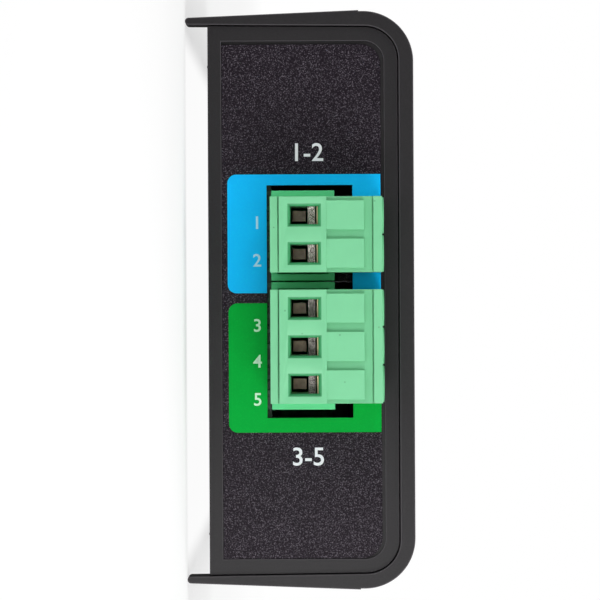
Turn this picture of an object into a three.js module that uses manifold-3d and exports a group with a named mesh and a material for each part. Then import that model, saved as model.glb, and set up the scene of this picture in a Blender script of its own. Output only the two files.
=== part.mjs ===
// A DMX splitter for a DIN rail, lying on its back on the four feet of its side walls.
// Millimetres. +Z is the front face, X the width along the rail, and Y the length.
// The power and input plugs are at the -Y end, and the output plugs are at the +Y end.
// The origin is at the middle of the plane that the feet stand on.

import * as THREE from "three";
import { mergeVertices } from "three/addons/utils/BufferGeometryUtils.js";
import Module from "manifold-3d";

const wasm = await Module();
wasm.setup();

// Case, read off the end view in the photograph
const caseWidth = 78.24;
const caseHeight = 30.8;
const caseLength = 105;
const cornerRadius = 6.8;
const innerCornerRadius = 4.6;
const frontWall = 2;
const sideWall = 2.12;
const skirtTipWall = 0.95;
const sideLean = 0.92;
const footLong = 5;
const partingDrop = 7.4;
const partingStep = 0.13;
const caseGap = 0.14;

// Base tray and its end walls
const rearRecess = 3;
const plateThick = 2;
const endRecess = 0.6;
const endWall = 2;
const lipThick = 1.3;
const lipTall = 4;
const standoffTall = 4.9;
const standoffRadius = 4;

// Label recess in each end wall, and the labels
const ledgeWide = 2;
const ledgeRear = 1.83;
const labelRecess = 0.4;
const labelThick = 0.25;
const labelCorner = 2.75;
const labelSlack = 0.45;
const labelTouch = 0.05;

// Circuit board
const boardThick = 1.6;
const boardSideGap = 0.3;
const boardEndGap = 0.5;
const pinHoleRadius = 0.9;

// Headers and pins. The output header's poles share the width of the label recess.
const outputPoles = 3;
const outputCount = 4;
const outputSideMargin = 2.58;
const headerOverhang = 1.01;
const headerLong = 12;
const headerWall = 0.9;
const headerSetback = 0.3;
const headerApart = 0.18;
const pinSize = 1;
const pinTipDeep = 2.2;
const pinTailFromBack = 1.9;
const pinTailOut = 1.9;
const windowSideGap = 0.93;
const inputWindowShift = 0.2;
const windowBelow = 0.6;
const windowAbove = 2.43;

// Plug bodies
const plugBelowRoof = 2.45;
const towerLong = 10;
const plugInLong = 8.2;
const plugApart = 0.1;
const plugDrop = 0.05;
const shoulderGap = 0.1;
const plugInGap = 0.15;
const cavityEndGap = 0.4;
const footStripTop = 1.02;
const footStripBack = 0.3;
const faceGroove = 0.15;
const faceGrooveDeep = 0.7;
const zoneBack = 0.65;
const padBack = 0.12;
const padApart = 1.19;
const padBelowTop = 2.4;
const topStripTall = 1.33;
const topStripBack = 0.35;
const contactGap = 0.6;

// Wire openings
const mouthApart = 2.69;
const funnelFlare = 0.33;
const funnelBelow = 0.38;
const funnelAbove = 0.46;
const funnelDeep = 1;

// Rising cages, their chambers and the current bars that the wires are pressed against
const cageApart = 1.08;
const cageLonger = 0.2;
const cageSide = 0.45;
const cageSideGap = 0.1;
const cageEndGap = 0.2;
const chamberFront = 2.6;
const barWider = 0.21;
const barGap = 0.2;
const barRoot = 1.8;

// Clamp screws and the wells that they turn in
const screwSlotWide = 0.6;
const screwSlotDeep = 0.8;
const screwShoulder = 0.5;
const screwRunGap = 0.15;
const screwSeatGap = 0.1;
const collarInset = 0.11;
const collarWall = 0.33;
const collarTall = 0.25;

// Heights in a connector, as shares of a plug's height
const heightShares = {
  wireBlock: 0.5034,
  mouthBottom: 0.1819,
  mouthTop: 0.4276,
  cageBottom: 0.1208,
  cageFloor: 0.0537,
  cageOpening: 0.2416,
  cageRoof: 0.1208,
  bar: 0.0671,
  clampTravel: 0.1544,
  screwSeat: 0.1275,
  screwHead: 0.1208,
  header: 0.5751,
  pin: 0.2584,
};

// Rail channel across the back of the base
const railWidth = 35;
const railBrim = 1;
const railGap = 0.3;
const clawThick = 1.7;
const hookOverlap = 1.5;
const hookWide = 16;
const hookPlace = 20;
const seatInset = 0.5;
const channelStep = 0.25;
const channelWall = 1.5;
const channelRoof = 1.35;

// Latch, its guide and its spring
const latchWide = 12;
const latchThick = 2.8;
const flangeWide = 2;
const flangeThick = 1.2;
const latchGap = 0.3;
const latchTravel = 3.5;
const flangeStart = 1.7;
const flangeLong = 24;
const springPocketInset = 5;
const tabWide = 10;
const tabThick = 1.5;
const tabReach = 3.5;
const tabSlotWide = 5;
const tabSlotLong = 1.6;
const tabSlotInset = 1;
const latchBoxWall = 1.5;
const latchBoxRoof = 1.3;
const springWire = 0.4;
const springRadius = 1.2;
const springPitch = 0.95;
const springTurns = 10;
const springEndGap = 0.3;
const springSideGap = 0.3;
const nubRadius = 0.6;
const nubLong = 1.5;
const postLong = 2;

// Case screws and the cover's bosses
const caseScrewInset = [4.3, 19.4];
const caseScrewRadius = 1.5;
const caseScrewLong = 14.8;
const caseScrewHeadRadius = 2.8;
const caseScrewHeadTall = 2.2;
const caseScrewGap = 0.2;
const crossWide = 0.7;
const crossLong = 3;
const crossDeep = 1.1;
const bossRadius = 3.25;

// Front label and light guide
const frontLabelSide = 8.42;
const frontLabelEnd = 7;
const frontLabelCorner = 3;
const frontRecess = 0.3;
const frontLabelGap = 0.3;
const lampCount = 6;
const lampPitch = 8;
const lampRow = 22;
const guideRadius = 1.4;
const guideGap = 0.25;
const guideBarTall = 2.3;
const guideBarThick = 1.6;
const guideSeatGap = 0.3;
const lampSize = [2, 1.3, 0.9];

// Parts on the circuit board: sizes in X, Y and Z, and places as shares of the board's half sizes
const converterSize = [24, 14, 10];
const converterShares = [-0.45, -0.33];
const controllerSize = [10, 10, 1.6];
const controllerShares = [0.25, -0.1];
const isolatorSize = [7.5, 10.3, 2.4];
const isolatorShares = [0.3, -0.52];
const driverSize = [7.5, 10.3, 2.4];
const driverRow = 31;
const capacitorRadius = 4;
const capacitorTall = 11.5;
const capacitorShares = [-0.52, -0.68];
const solderSink = 0.1;

// How far a cut runs past the face that it opens, and the sides of the round shapes
const overrun = 0.5;
const fineSides = 12;
const coarseSides = 8;
const arcSteps = 4;

// Places that follow from the sizes above
const caseHalf = caseWidth / 2;
const hoodEnd = caseLength / 2;
const roof = caseHeight - frontWall;
const innerHalf = caseHalf - sideWall;
const tipOuter = caseHalf - sideLean;
const tipInner = tipOuter - skirtTipWall;
const tipRadius = skirtTipWall / 2;
const outerCentre = [caseHalf - partingStep - cornerRadius, caseHeight - cornerRadius];
const innerCentre = [innerHalf - innerCornerRadius, roof - innerCornerRadius];
const rearPlane = rearRecess;
const plateTop = rearPlane + plateThick;
const wallOuter = hoodEnd - endRecess;
const wallInner = wallOuter - endWall;
const boardBottom = plateTop + standoffTall;
const boardTop = boardBottom + boardThick;
const innerLean = (tipInner - innerHalf) / (innerCentre[1] - tipRadius);
const baseRearHalf = tipInner - caseGap - innerLean * (rearPlane - tipRadius);
const boardHalf = [baseRearHalf - lipThick - boardSideGap, wallInner - boardEndGap];
const recessHalf = innerHalf - ledgeWide;
const recessBottom = rearPlane + ledgeRear;
const recessTop = roof - ledgeWide;
const recessFloor = wallOuter - labelRecess;
const outputWays = outputPoles * outputCount;
const outputWindowHalf = recessHalf - outputSideMargin;
const polePitch = (2 * (outputWindowHalf - windowSideGap - headerOverhang)) / outputWays;
const plugTall = roof - plugBelowRoof - boardTop + plugDrop;
const headerTall = heightShares.header * plugTall;
const railHalf = railWidth / 2;
const channelHalf = railHalf + railGap;
const seatHalf = railHalf - hookOverlap - seatInset;
const clawTop = rearPlane + clawThick;
const seatHeight = clawTop + railBrim + railGap;
const channelTop = seatHeight + channelStep;
const channelOuter = channelHalf + channelWall;
const frontRecessFloor = caseHeight - frontRecess;
const screwPlaces = [
  [boardHalf[0] - caseScrewInset[0], boardHalf[1] - caseScrewInset[1]],
  [caseScrewInset[0] - boardHalf[0], boardHalf[1] - caseScrewInset[1]],
  [caseScrewInset[0] - boardHalf[0], caseScrewInset[1] - boardHalf[1]],
  [boardHalf[0] - caseScrewInset[0], caseScrewInset[1] - boardHalf[1]],
];
const caseScrewSeat = rearPlane + caseScrewGap + caseScrewHeadTall;
const lampTop = boardTop + lampSize[2];
const lampPlaces = Array.from(
  { length: lampCount },
  (_, lamp) => [(lamp - (lampCount - 1) / 2) * lampPitch, lampRow],
);

// Turning geometries into solids and back

function solidOf(geometry) {
  const bare = geometry.clone();
  bare.deleteAttribute("normal");
  bare.deleteAttribute("uv");
  const merged = mergeVertices(bare);
  const mesh = new wasm.Mesh({
    numProp: 3,
    vertProperties: merged.attributes.position.array,
    triVerts: Uint32Array.from(merged.index.array),
  });
  return new wasm.Manifold(mesh);
}

function geometryOf(solid) {
  const mesh = solid.getMesh();
  const geometry = new THREE.BufferGeometry();
  geometry.setAttribute("position", new THREE.BufferAttribute(mesh.vertProperties, 3));
  geometry.setIndex(new THREE.BufferAttribute(mesh.triVerts, 1));
  return geometry;
}

// Moves every corner of a geometry to the place that a function gives for it
function remapped(geometry, place) {
  const corners = geometry.attributes.position;
  for (let i = 0; i < corners.count; i += 1) {
    corners.setXYZ(i, ...place(corners.getX(i), corners.getY(i), corners.getZ(i)));
  }
  return geometry;
}

function joined(solids) {
  return solids.reduce((whole, solid) => whole.add(solid));
}

function cut(solid, tools) {
  return tools.reduce((rest, tool) => rest.subtract(tool), solid);
}

// Basic shapes, with exact planes where they are asked for

function block(xs, ys, zs) {
  const side = (value, range) => (value < 0 ? range[0] : range[1]);
  const unit = new THREE.BoxGeometry(1, 1, 1);
  return solidOf(remapped(unit, (x, y, z) => [side(x, xs), side(y, ys), side(z, zs)]));
}

// A block on a centre, with its full sizes in X and Y
function blockAt(centre, size, zs) {
  return block(
    [centre[0] - size[0] / 2, centre[0] + size[0] / 2],
    [centre[1] - size[1] / 2, centre[1] + size[1] / 2],
    zs,
  );
}

// A funnel along Y: near and far are { y, xs, zs }
function funnel(near, far) {
  const unit = new THREE.BoxGeometry(1, 1, 1);
  return solidOf(remapped(unit, (x, y, z) => {
    const end = y < 0 ? near : far;
    return [end.xs[x < 0 ? 0 : 1], end.y, end.zs[z < 0 ? 0 : 1]];
  }));
}

// A round bar along Z
function rod(radius, sides, centre, zs) {
  const unit = new THREE.CylinderGeometry(radius, radius, 1, sides);
  return solidOf(remapped(unit, (x, y, z) => [centre[0] + z, centre[1] + x, zs[y < 0 ? 0 : 1]]));
}

// A round bar along Y
function rodAlongY(radius, sides, [x0, z0], ys) {
  const unit = new THREE.CylinderGeometry(radius, radius, 1, sides);
  return solidOf(remapped(unit, (x, y, z) => [x0 + x, ys[y < 0 ? 0 : 1], z0 + z]));
}

function extruded(outline, place) {
  const settings = { depth: 1, bevelEnabled: false, curveSegments: arcSteps };
  return solidOf(remapped(new THREE.ExtrudeGeometry(outline, settings), place));
}

// An outline in X and Z, carried along Y
function alongY(outline, ys) {
  return extruded(outline, (x, z, depth) => [x, depth > 0 ? ys[0] : ys[1], z]);
}

// An outline in Y and Z, carried along X
function alongX(outline, xs) {
  return extruded(outline, (y, z, depth) => [depth > 0 ? xs[1] : xs[0], y, z]);
}

// An outline in X and Y, carried along Z
function alongZ(outline, zs) {
  return extruded(outline, (x, y, depth) => [x, y, depth > 0 ? zs[1] : zs[0]]);
}

function polygon(points) {
  return new THREE.Shape(points.map(([a, b]) => new THREE.Vector2(a, b)));
}

// A rectangle with its two upper corners rounded
function archedRectangle([left, right], [bottom, top], radius) {
  const outline = new THREE.Shape();
  outline.moveTo(left, bottom);
  outline.lineTo(right, bottom);
  outline.absarc(right - radius, top - radius, radius, 0, Math.PI / 2);
  outline.absarc(left + radius, top - radius, radius, Math.PI / 2, Math.PI);
  return outline;
}

function roundedRectangle(halfWide, halfLong, radius) {
  const outline = new THREE.Shape();
  const [x, y] = [halfWide - radius, halfLong - radius];
  outline.absarc(x, y, radius, 0, Math.PI / 2);
  outline.absarc(-x, y, radius, Math.PI / 2, Math.PI);
  outline.absarc(-x, -y, radius, Math.PI, Math.PI * 1.5);
  outline.absarc(x, -y, radius, Math.PI * 1.5, Math.PI * 2);
  return outline;
}

// Finishes of the pieces, with colours from the photograph
const finishes = {
  caseBlack: { color: "#343233", roughness: 0.62, metalness: 0 },
  labelBlack: { color: "#332f33", roughness: 0.5, metalness: 0 },
  plugGreen: { color: "#81d69c", roughness: 0.45, metalness: 0 },
  headerGreen: { color: "#4bb172", roughness: 0.45, metalness: 0 },
  boardGreen: { color: "#1d4a33", roughness: 0.5, metalness: 0 },
  chipBlack: { color: "#1c1c1e", roughness: 0.55, metalness: 0 },
  canSilver: { color: "#b9bcc0", roughness: 0.35, metalness: 0.9 },
  steel: { color: "#b4b2ad", roughness: 0.35, metalness: 0.9 },
  brass: { color: "#c9b27c", roughness: 0.35, metalness: 0.9 },
  blackSteel: { color: "#2c2c2e", roughness: 0.45, metalness: 0.8 },
  clear: { color: "#dfe6e8", roughness: 0.15, metalness: 0 },
  latchGrey: { color: "#3b3a3c", roughness: 0.55, metalness: 0 },
};

function piece(name, geometry, finish, place = [0, 0, 0]) {
  const material = new THREE.MeshStandardMaterial({ ...finishes[finish], flatShading: true });
  const mesh = new THREE.Mesh(geometry, material);
  mesh.name = name;
  mesh.position.set(...place);
  return mesh;
}

// Cover: a deep U that slides over the base, with a boss for each case screw

function coverOutline() {
  const outline = new THREE.Shape();
  const parting = caseHeight - partingDrop;
  outline.moveTo(tipOuter, tipRadius);
  outline.lineTo(caseHalf, parting);
  outline.lineTo(caseHalf - partingStep, parting);
  outline.absarc(outerCentre[0], outerCentre[1], cornerRadius, 0, Math.PI / 2);
  outline.absarc(-outerCentre[0], outerCentre[1], cornerRadius, Math.PI / 2, Math.PI);
  outline.lineTo(partingStep - caseHalf, parting);
  outline.lineTo(-caseHalf, parting);
  outline.lineTo(-tipOuter, tipRadius);
  outline.absarc(tipRadius - tipOuter, tipRadius, tipRadius, Math.PI, Math.PI * 2);
  outline.absarc(-innerCentre[0], innerCentre[1], innerCornerRadius, Math.PI, Math.PI / 2, true);
  outline.absarc(innerCentre[0], innerCentre[1], innerCornerRadius, Math.PI / 2, 0, true);
  outline.absarc(tipOuter - tipRadius, tipRadius, tipRadius, Math.PI, Math.PI * 2);
  return outline;
}

function topCover() {
  const shell = alongY(coverOutline(), [-hoodEnd, hoodEnd]);
  const bosses = screwPlaces.map(
    (place) => rod(bossRadius, fineSides, place, [boardTop, roof + frontWall / 2]),
  );
  const screwBores = screwPlaces.map((place) => rod(
    caseScrewRadius + screwRunGap,
    coarseSides,
    place,
    [boardTop - overrun, caseScrewSeat + caseScrewLong + frontWall / 2],
  ));
  const lampBores = lampPlaces.map((place) => rod(
    guideRadius + guideGap,
    fineSides,
    place,
    [roof - overrun, caseHeight + overrun],
  ));
  const labelSeat = alongZ(
    roundedRectangle(caseHalf - frontLabelSide, hoodEnd - frontLabelEnd, frontLabelCorner),
    [frontRecessFloor, caseHeight + overrun],
  );
  const width = [-caseHalf - overrun, caseHalf + overrun];
  const railNotch = block(width, [-channelHalf, channelHalf], [-overrun, channelTop]);
  const betweenFeet = block(width, [footLong - hoodEnd, hoodEnd - footLong], [-overrun, rearPlane]);
  return cut(joined([shell, ...bosses]), [
    ...screwBores,
    ...lampBores,
    labelSeat,
    railNotch,
    betweenFeet,
  ]);
}

// Base: a plate with a low lip on each side, two end walls and the rail channel

function baseOutline() {
  const radius = innerCornerRadius - caseGap;
  const outline = new THREE.Shape();
  outline.moveTo(-baseRearHalf, rearPlane);
  outline.lineTo(baseRearHalf, rearPlane);
  outline.absarc(innerCentre[0], innerCentre[1], radius, 0, Math.PI / 2);
  outline.absarc(-innerCentre[0], innerCentre[1], radius, Math.PI / 2, Math.PI);
  return outline;
}

const latchTop = rearPlane + latchThick;
const tunnelTop = latchTop + latchGap;
const flangeBottom = latchTop - flangeThick;
const flangeFrom = channelOuter + flangeStart;
const flangeTo = flangeFrom + flangeLong;
const tunnelEnd = flangeTo + latchTravel + latchGap;
const springLong = springTurns * springPitch + 2 * springWire;
const pocketFrom = flangeFrom + springPocketInset;
const springFrom = pocketFrom + springEndGap;
const postFrom = springFrom + springLong + springEndGap;
const postTo = postFrom + postLong;
const pocketTo = postTo + latchGap;
const springHeight = rearPlane + springWire / 2 + springRadius;
const tunnelHalf = latchWide / 2 + latchGap;
const flangeHalf = latchWide / 2 + flangeWide;
const boxHalf = flangeHalf + latchGap + latchBoxWall;

function channelSolids() {
  const walls = [-1, 1].map((side) => block(
    [-baseRearHalf, baseRearHalf],
    [Math.min(side * channelHalf, side * channelOuter), Math.max(side * channelHalf, side * channelOuter)],
    [rearPlane, channelTop + channelRoof],
  ));
  const ceiling = block(
    [-baseRearHalf, baseRearHalf],
    [-channelOuter, channelOuter],
    [plateTop, channelTop + channelRoof],
  );
  return [...walls, ceiling];
}

function channelCuts() {
  const width = [-caseHalf, caseHalf];
  return [
    block(width, [-channelHalf, channelHalf], [-overrun, seatHeight]),
    block(width, [-channelHalf, -seatHalf], [rearPlane, channelTop]),
    block(width, [seatHalf, channelHalf], [rearPlane, channelTop]),
  ];
}

function railHooks() {
  return [-1, 1].map((side) => block(
    [side * hookPlace - hookWide / 2, side * hookPlace + hookWide / 2],
    [-channelHalf - channelWall / 2, hookOverlap - railHalf],
    [rearPlane, clawTop],
  ));
}

function latchGuideCuts() {
  return [
    block([-tunnelHalf, tunnelHalf], [channelHalf - overrun, tunnelEnd], [-overrun, tunnelTop]),
    block(
      [-flangeHalf - latchGap, flangeHalf + latchGap],
      [flangeFrom - latchGap, tunnelEnd],
      [flangeBottom - latchGap, tunnelTop],
    ),
    block(
      [-tabWide / 2 - latchGap, tabWide / 2 + latchGap],
      [tunnelEnd - overrun, wallOuter + overrun],
      [-overrun, rearPlane + tabThick + latchGap],
    ),
  ];
}

function springPost() {
  const half = springRadius + springWire / 2;
  return [
    block([-half, half], [postFrom, postTo], [rearPlane + latchGap, tunnelTop + latchBoxRoof / 2]),
    rodAlongY(nubRadius, coarseSides, [0, springHeight], [postFrom - nubLong, postFrom + nubLong / 2]),
  ];
}

// The hollow for a label in the end wall at one end, and the window across a given span of X
function endWallCuts(end, windowSpan) {
  const between = (a, b) => [Math.min(end * a, end * b), Math.max(end * a, end * b)];
  return [
    alongY(
      archedRectangle([-recessHalf, recessHalf], [recessBottom, recessTop], labelCorner),
      between(recessFloor, wallOuter + overrun),
    ),
    block(
      windowSpan,
      between(wallInner - overrun, wallOuter + overrun),
      [boardTop - windowBelow, boardTop + headerTall + windowAbove],
    ),
  ];
}

function baseTray() {
  const lipHalf = baseRearHalf - lipThick;
  const body = cut(alongY(baseOutline(), [-wallOuter, wallOuter]), [
    block([-lipHalf, lipHalf], [-wallInner, wallInner], [plateTop, caseHeight]),
    block([-caseHalf, caseHalf], [-wallInner, wallInner], [plateTop + lipTall, caseHeight]),
  ]);
  const standoffs = screwPlaces.map(
    (place) => rod(standoffRadius, fineSides, place, [rearPlane + plateThick / 2, boardBottom]),
  );
  const latchBox = block(
    [-boxHalf, boxHalf],
    [channelHalf, wallInner + endWall / 2],
    [rearPlane, tunnelTop + latchBoxRoof],
  );
  const screwCuts = screwPlaces.flatMap((place) => [
    rod(caseScrewHeadRadius + screwRunGap, fineSides, place, [-overrun, caseScrewSeat + screwSeatGap]),
    rod(caseScrewRadius + caseScrewGap, coarseSides, place, [rearPlane, boardBottom + overrun]),
  ]);
  const filled = joined([body, ...channelSolids(), ...standoffs, latchBox]);
  const opened = cut(filled, [
    ...channelCuts(),
    ...latchGuideCuts(),
    ...screwCuts,
    ...endWallCuts(-1, inputWindow),
    ...endWallCuts(1, outputWindow),
  ]);
  return joined([opened, ...railHooks(), ...springPost()]);
}

// Labels: thin sheets with a window for the connectors. Each one sits against one side of its hollow.

function endLabel(end, windowSpan) {
  const [loose, tight] = [labelSlack, labelTouch];
  const xs = end < 0 ? [loose - recessHalf, recessHalf - tight] : [tight - recessHalf, recessHalf - loose];
  const ys = end < 0
    ? [-recessFloor - labelThick, -recessFloor]
    : [recessFloor, recessFloor + labelThick];
  const sheet = alongY(archedRectangle(xs, [recessBottom + tight, recessTop - loose], labelCorner), ys);
  const opening = block(
    windowSpan,
    [ys[0] - overrun, ys[1] + overrun],
    [boardTop - windowBelow, boardTop + headerTall + windowAbove],
  );
  return sheet.subtract(opening);
}

function frontLabel() {
  const sheet = alongZ(
    roundedRectangle(
      caseHalf - frontLabelSide - frontLabelGap,
      hoodEnd - frontLabelEnd - frontLabelGap,
      frontLabelCorner - frontLabelGap,
    ),
    [frontRecessFloor, frontRecessFloor + labelThick],
  );
  const lampHoles = lampPlaces.map((place) => rod(
    guideRadius + guideGap,
    fineSides,
    place,
    [frontRecessFloor - overrun, caseHeight + overrun],
  ));
  return cut(sheet, lampHoles);
}

// Connectors. Their own frame has its origin on the plugs' shoulder plane at the board's top face,
// with the wires leaving along -Y.

const headerWidth = (poles) => poles * polePitch + 2 * headerOverhang;
const headerFront = shoulderGap + headerSetback;
const headerBack = headerFront + headerLong;
const cavityBack = plugInLong + cavityEndGap;
const pinTailPlace = headerBack - pinTailFromBack;
const powerPoles = 2;
const inputPoles = 3;
const inputSideWidth = headerWidth(powerPoles) + headerApart + headerWidth(inputPoles);
const powerPlace = (headerWidth(powerPoles) - inputSideWidth) / 2;
const inputPlace = (inputSideWidth - headerWidth(inputPoles)) / 2;
const inputWindowHalf = inputSideWidth / 2 + windowSideGap;
const inputWindow = [inputWindowShift - inputWindowHalf, inputWindowShift + inputWindowHalf];
const outputWindow = [-outputWindowHalf, outputWindowHalf];
const shoulderPlane = wallOuter + shoulderGap;
const pinHeight = heightShares.pin * plugTall;

// The places of a connector's poles along its own X
function polePlaces(poles) {
  return Array.from({ length: poles }, (_, pole) => (pole - (poles - 1) / 2) * polePitch);
}

// A pin runs out of the back wall, and its tail runs down through the board
function headerPin(x) {
  const half = pinSize / 2;
  const xs = [x - half, x + half];
  return [
    block(xs, [pinTipDeep, cavityBack + headerWall], [pinHeight - half, pinHeight + half]),
    block(
      xs,
      [pinTailPlace - half, pinTailPlace + half],
      [-boardThick - pinTailOut, headerWall],
    ),
  ];
}

function header(poles) {
  const half = headerWidth(poles) / 2;
  const shell = block([-half, half], [headerFront, headerBack], [0, headerTall]);
  const cavity = block(
    [headerWall - half, half - headerWall],
    [headerFront - overrun, cavityBack],
    [headerWall, headerTall - headerWall],
  );
  return joined([shell.subtract(cavity), ...polePlaces(poles).flatMap(headerPin)]);
}

// Heights in a plug, worked up from its underside
const underside = -plugDrop;
const plugTop = underside + plugTall;
const wireBlockTop = underside + heightShares.wireBlock * plugTall;
const mouthZs = [
  underside + heightShares.mouthBottom * plugTall,
  underside + heightShares.mouthTop * plugTall,
];
const cageFoot = underside + heightShares.cageBottom * plugTall;
const cageOpenBottom = cageFoot + heightShares.cageFloor * plugTall;
const cageOpenTop = cageOpenBottom + heightShares.cageOpening * plugTall;
const cageTop = cageOpenTop + heightShares.cageRoof * plugTall;
const chamberBottom = cageFoot - cageEndGap;
const chamberTop = cageTop + heightShares.clampTravel * plugTall + cageEndGap;
const barTop = cageOpenTop - barGap;
const barBottom = barTop - heightShares.bar * plugTall;
const screwSeat = chamberTop + heightShares.screwSeat * plugTall;
const screwHeadBottom = screwSeat + screwSeatGap;
const screwHeadTop = screwHeadBottom + heightShares.screwHead * plugTall;

// Widths in a plug, worked in from its pole pitch
const padWide = polePitch - padApart;
const mouthWide = polePitch - mouthApart;
const barWide = mouthWide + barWider;
const cageWide = polePitch - cageApart;
const cageLong = cageWide + cageLonger;
const chamberHalf = cageWide / 2 + cageSideGap;
const chamberYs = [chamberFront - towerLong, chamberFront - towerLong + cageLong + 2 * cageSideGap];
const screwPlace = (chamberYs[0] + chamberYs[1]) / 2;
const collarRadius = polePitch / 2 - collarInset;
const wellRadius = collarRadius - collarWall;
const screwHeadRadius = wellRadius - screwRunGap;
const screwShankRadius = screwHeadRadius - screwShoulder;
const shankBore = screwShankRadius + screwRunGap;

// The side view of the part outside the case: strips at the foot and the top, and a set-back zone
function towerOutline() {
  const face = -towerLong;
  const strip = underside + footStripTop;
  const upper = plugTop - topStripTall;
  const groove = face + faceGrooveDeep + footStripBack;
  return polygon([
    [0, underside],
    [0, plugTop],
    [face + topStripBack, plugTop],
    [face + topStripBack, upper + faceGroove],
    [groove, upper + faceGroove],
    [groove, upper],
    [face + zoneBack, upper],
    [face + zoneBack, wireBlockTop],
    [face, wireBlockTop],
    [face, strip + faceGroove],
    [groove, strip + faceGroove],
    [groove, strip],
    [face + footStripBack, strip],
    [face + footStripBack, underside],
  ]);
}

function plugPole(x) {
  const half = (width) => [x - width / 2, x + width / 2];
  const face = -towerLong;
  const flare = funnelFlare * (overrun / funnelDeep);
  return {
    pad: block(
      half(padWide),
      [face + padBack, face + zoneBack + overrun],
      [wireBlockTop - overrun, plugTop - padBelowTop],
    ),
    collar: rod(
      collarRadius,
      fineSides,
      [x, screwPlace],
      [plugTop - collarTall, plugTop + collarTall],
    ),
    bar: block(half(barWide), [chamberYs[0] + cageSideGap, chamberYs[1] + barRoot], [barBottom, barTop]),
    hollows: [
      block(half(2 * chamberHalf), chamberYs, [chamberBottom, chamberTop]),
      funnel(
        {
          y: face - overrun,
          xs: half(mouthWide + 2 * (funnelFlare + flare)),
          zs: [mouthZs[0] - funnelBelow - flare, mouthZs[1] + funnelAbove + flare],
        },
        { y: face + funnelDeep, xs: half(mouthWide), zs: mouthZs },
      ),
      block(half(mouthWide), [face, chamberYs[0] + overrun], mouthZs),
      rod(wellRadius, fineSides, [x, screwPlace], [screwSeat, plugTop + collarTall + overrun]),
      rod(shankBore, fineSides, [x, screwPlace], [chamberTop - overrun, screwSeat + overrun]),
      block(
        half(pinSize + 2 * contactGap),
        [chamberYs[1] - overrun, plugInLong + overrun],
        [pinHeight - pinSize / 2 - contactGap, barBottom],
      ),
    ],
  };
}

function plug(poles) {
  const half = (poles * polePitch - plugApart) / 2;
  const tower = alongX(towerOutline(), [-half, half]);
  const inner = block(
    [-half, half],
    [-overrun, plugInLong],
    [headerWall + plugInGap, headerTall - headerWall - plugInGap],
  );
  const details = polePlaces(poles).map(plugPole);
  const whole = joined([tower, inner, ...details.flatMap(({ pad, collar }) => [pad, collar])]);
  const hollowed = cut(whole, details.flatMap(({ hollows }) => hollows));
  return joined([hollowed, ...details.map(({ bar }) => bar)]);
}

// Clamp cage, in its pole's own frame
function clampCage() {
  const half = cageWide / 2;
  const [from, to] = [chamberYs[0] + cageSideGap, chamberYs[1] - cageSideGap];
  return cut(block([-half, half], [from, to], [cageFoot, cageTop]), [
    block(
      [cageSide - half, half - cageSide],
      [from - overrun, to + overrun],
      [cageOpenBottom, cageOpenTop],
    ),
    rod(shankBore, coarseSides, [0, screwPlace], [cageOpenTop - overrun, cageTop + overrun]),
  ]);
}

// Clamp screw, in its pole's own frame, with its axis along Z at the origin
function clampScrew() {
  const head = rod(screwHeadRadius, fineSides, [0, 0], [screwHeadBottom, screwHeadTop]);
  const shank = rod(
    screwShankRadius,
    coarseSides,
    [0, 0],
    [barTop + screwSeatGap, (screwHeadBottom + screwHeadTop) / 2],
  );
  const slot = block(
    [-screwHeadRadius - overrun, screwHeadRadius + overrun],
    [-screwSlotWide / 2, screwSlotWide / 2],
    [screwHeadTop - screwSlotDeep, screwHeadTop + overrun],
  );
  return head.add(shank).subtract(slot);
}

const cageGeometry = geometryOf(clampCage());
const clampScrewGeometry = geometryOf(clampScrew());

// One plug with a screw and a cage for each of its poles
function plugGroup(name, poles, place) {
  const group = new THREE.Group();
  group.add(piece(`${name}_plug`, geometryOf(plug(poles)), "plugGreen"));
  polePlaces(poles).forEach((x, pole) => {
    group.add(piece(`${name}_clamp_${pole + 1}`, cageGeometry, "brass", [x, 0, 0]));
    group.add(piece(`${name}_screw_${pole + 1}`, clampScrewGeometry, "steel", [x, screwPlace, 0]));
  });
  group.position.set(place, 0, 0);
  return group;
}

function inputEnd() {
  const end = new THREE.Group();
  end.add(piece("power_header", geometryOf(header(powerPoles)), "headerGreen", [powerPlace, 0, 0]));
  end.add(piece("input_header", geometryOf(header(inputPoles)), "headerGreen", [inputPlace, 0, 0]));
  end.add(plugGroup("power", powerPoles, powerPlace));
  end.add(plugGroup("input", inputPoles, inputPlace));
  end.position.set(0, -shoulderPlane, boardTop);
  return end;
}

// The output end is turned about Z, and its first plug is at the side of the power plug
function outputEnd() {
  const end = new THREE.Group();
  end.add(piece("output_header", geometryOf(header(outputWays)), "headerGreen"));
  for (let output = 0; output < outputCount; output += 1) {
    const place = ((outputCount - 1) / 2 - output) * outputPoles * polePitch;
    end.add(plugGroup(`output_${output + 1}`, outputPoles, place));
  }
  end.rotation.z = Math.PI;
  end.position.set(0, shoulderPlane, boardTop);
  return end;
}

// Circuit board, with its line drivers and indicator lamps as parts of one solid

function pinHoles(places, end) {
  return places.map((x) => rod(
    pinHoleRadius,
    coarseSides,
    [x, end * (shoulderPlane - pinTailPlace)],
    [boardBottom - overrun, boardTop + overrun],
  ));
}

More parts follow.
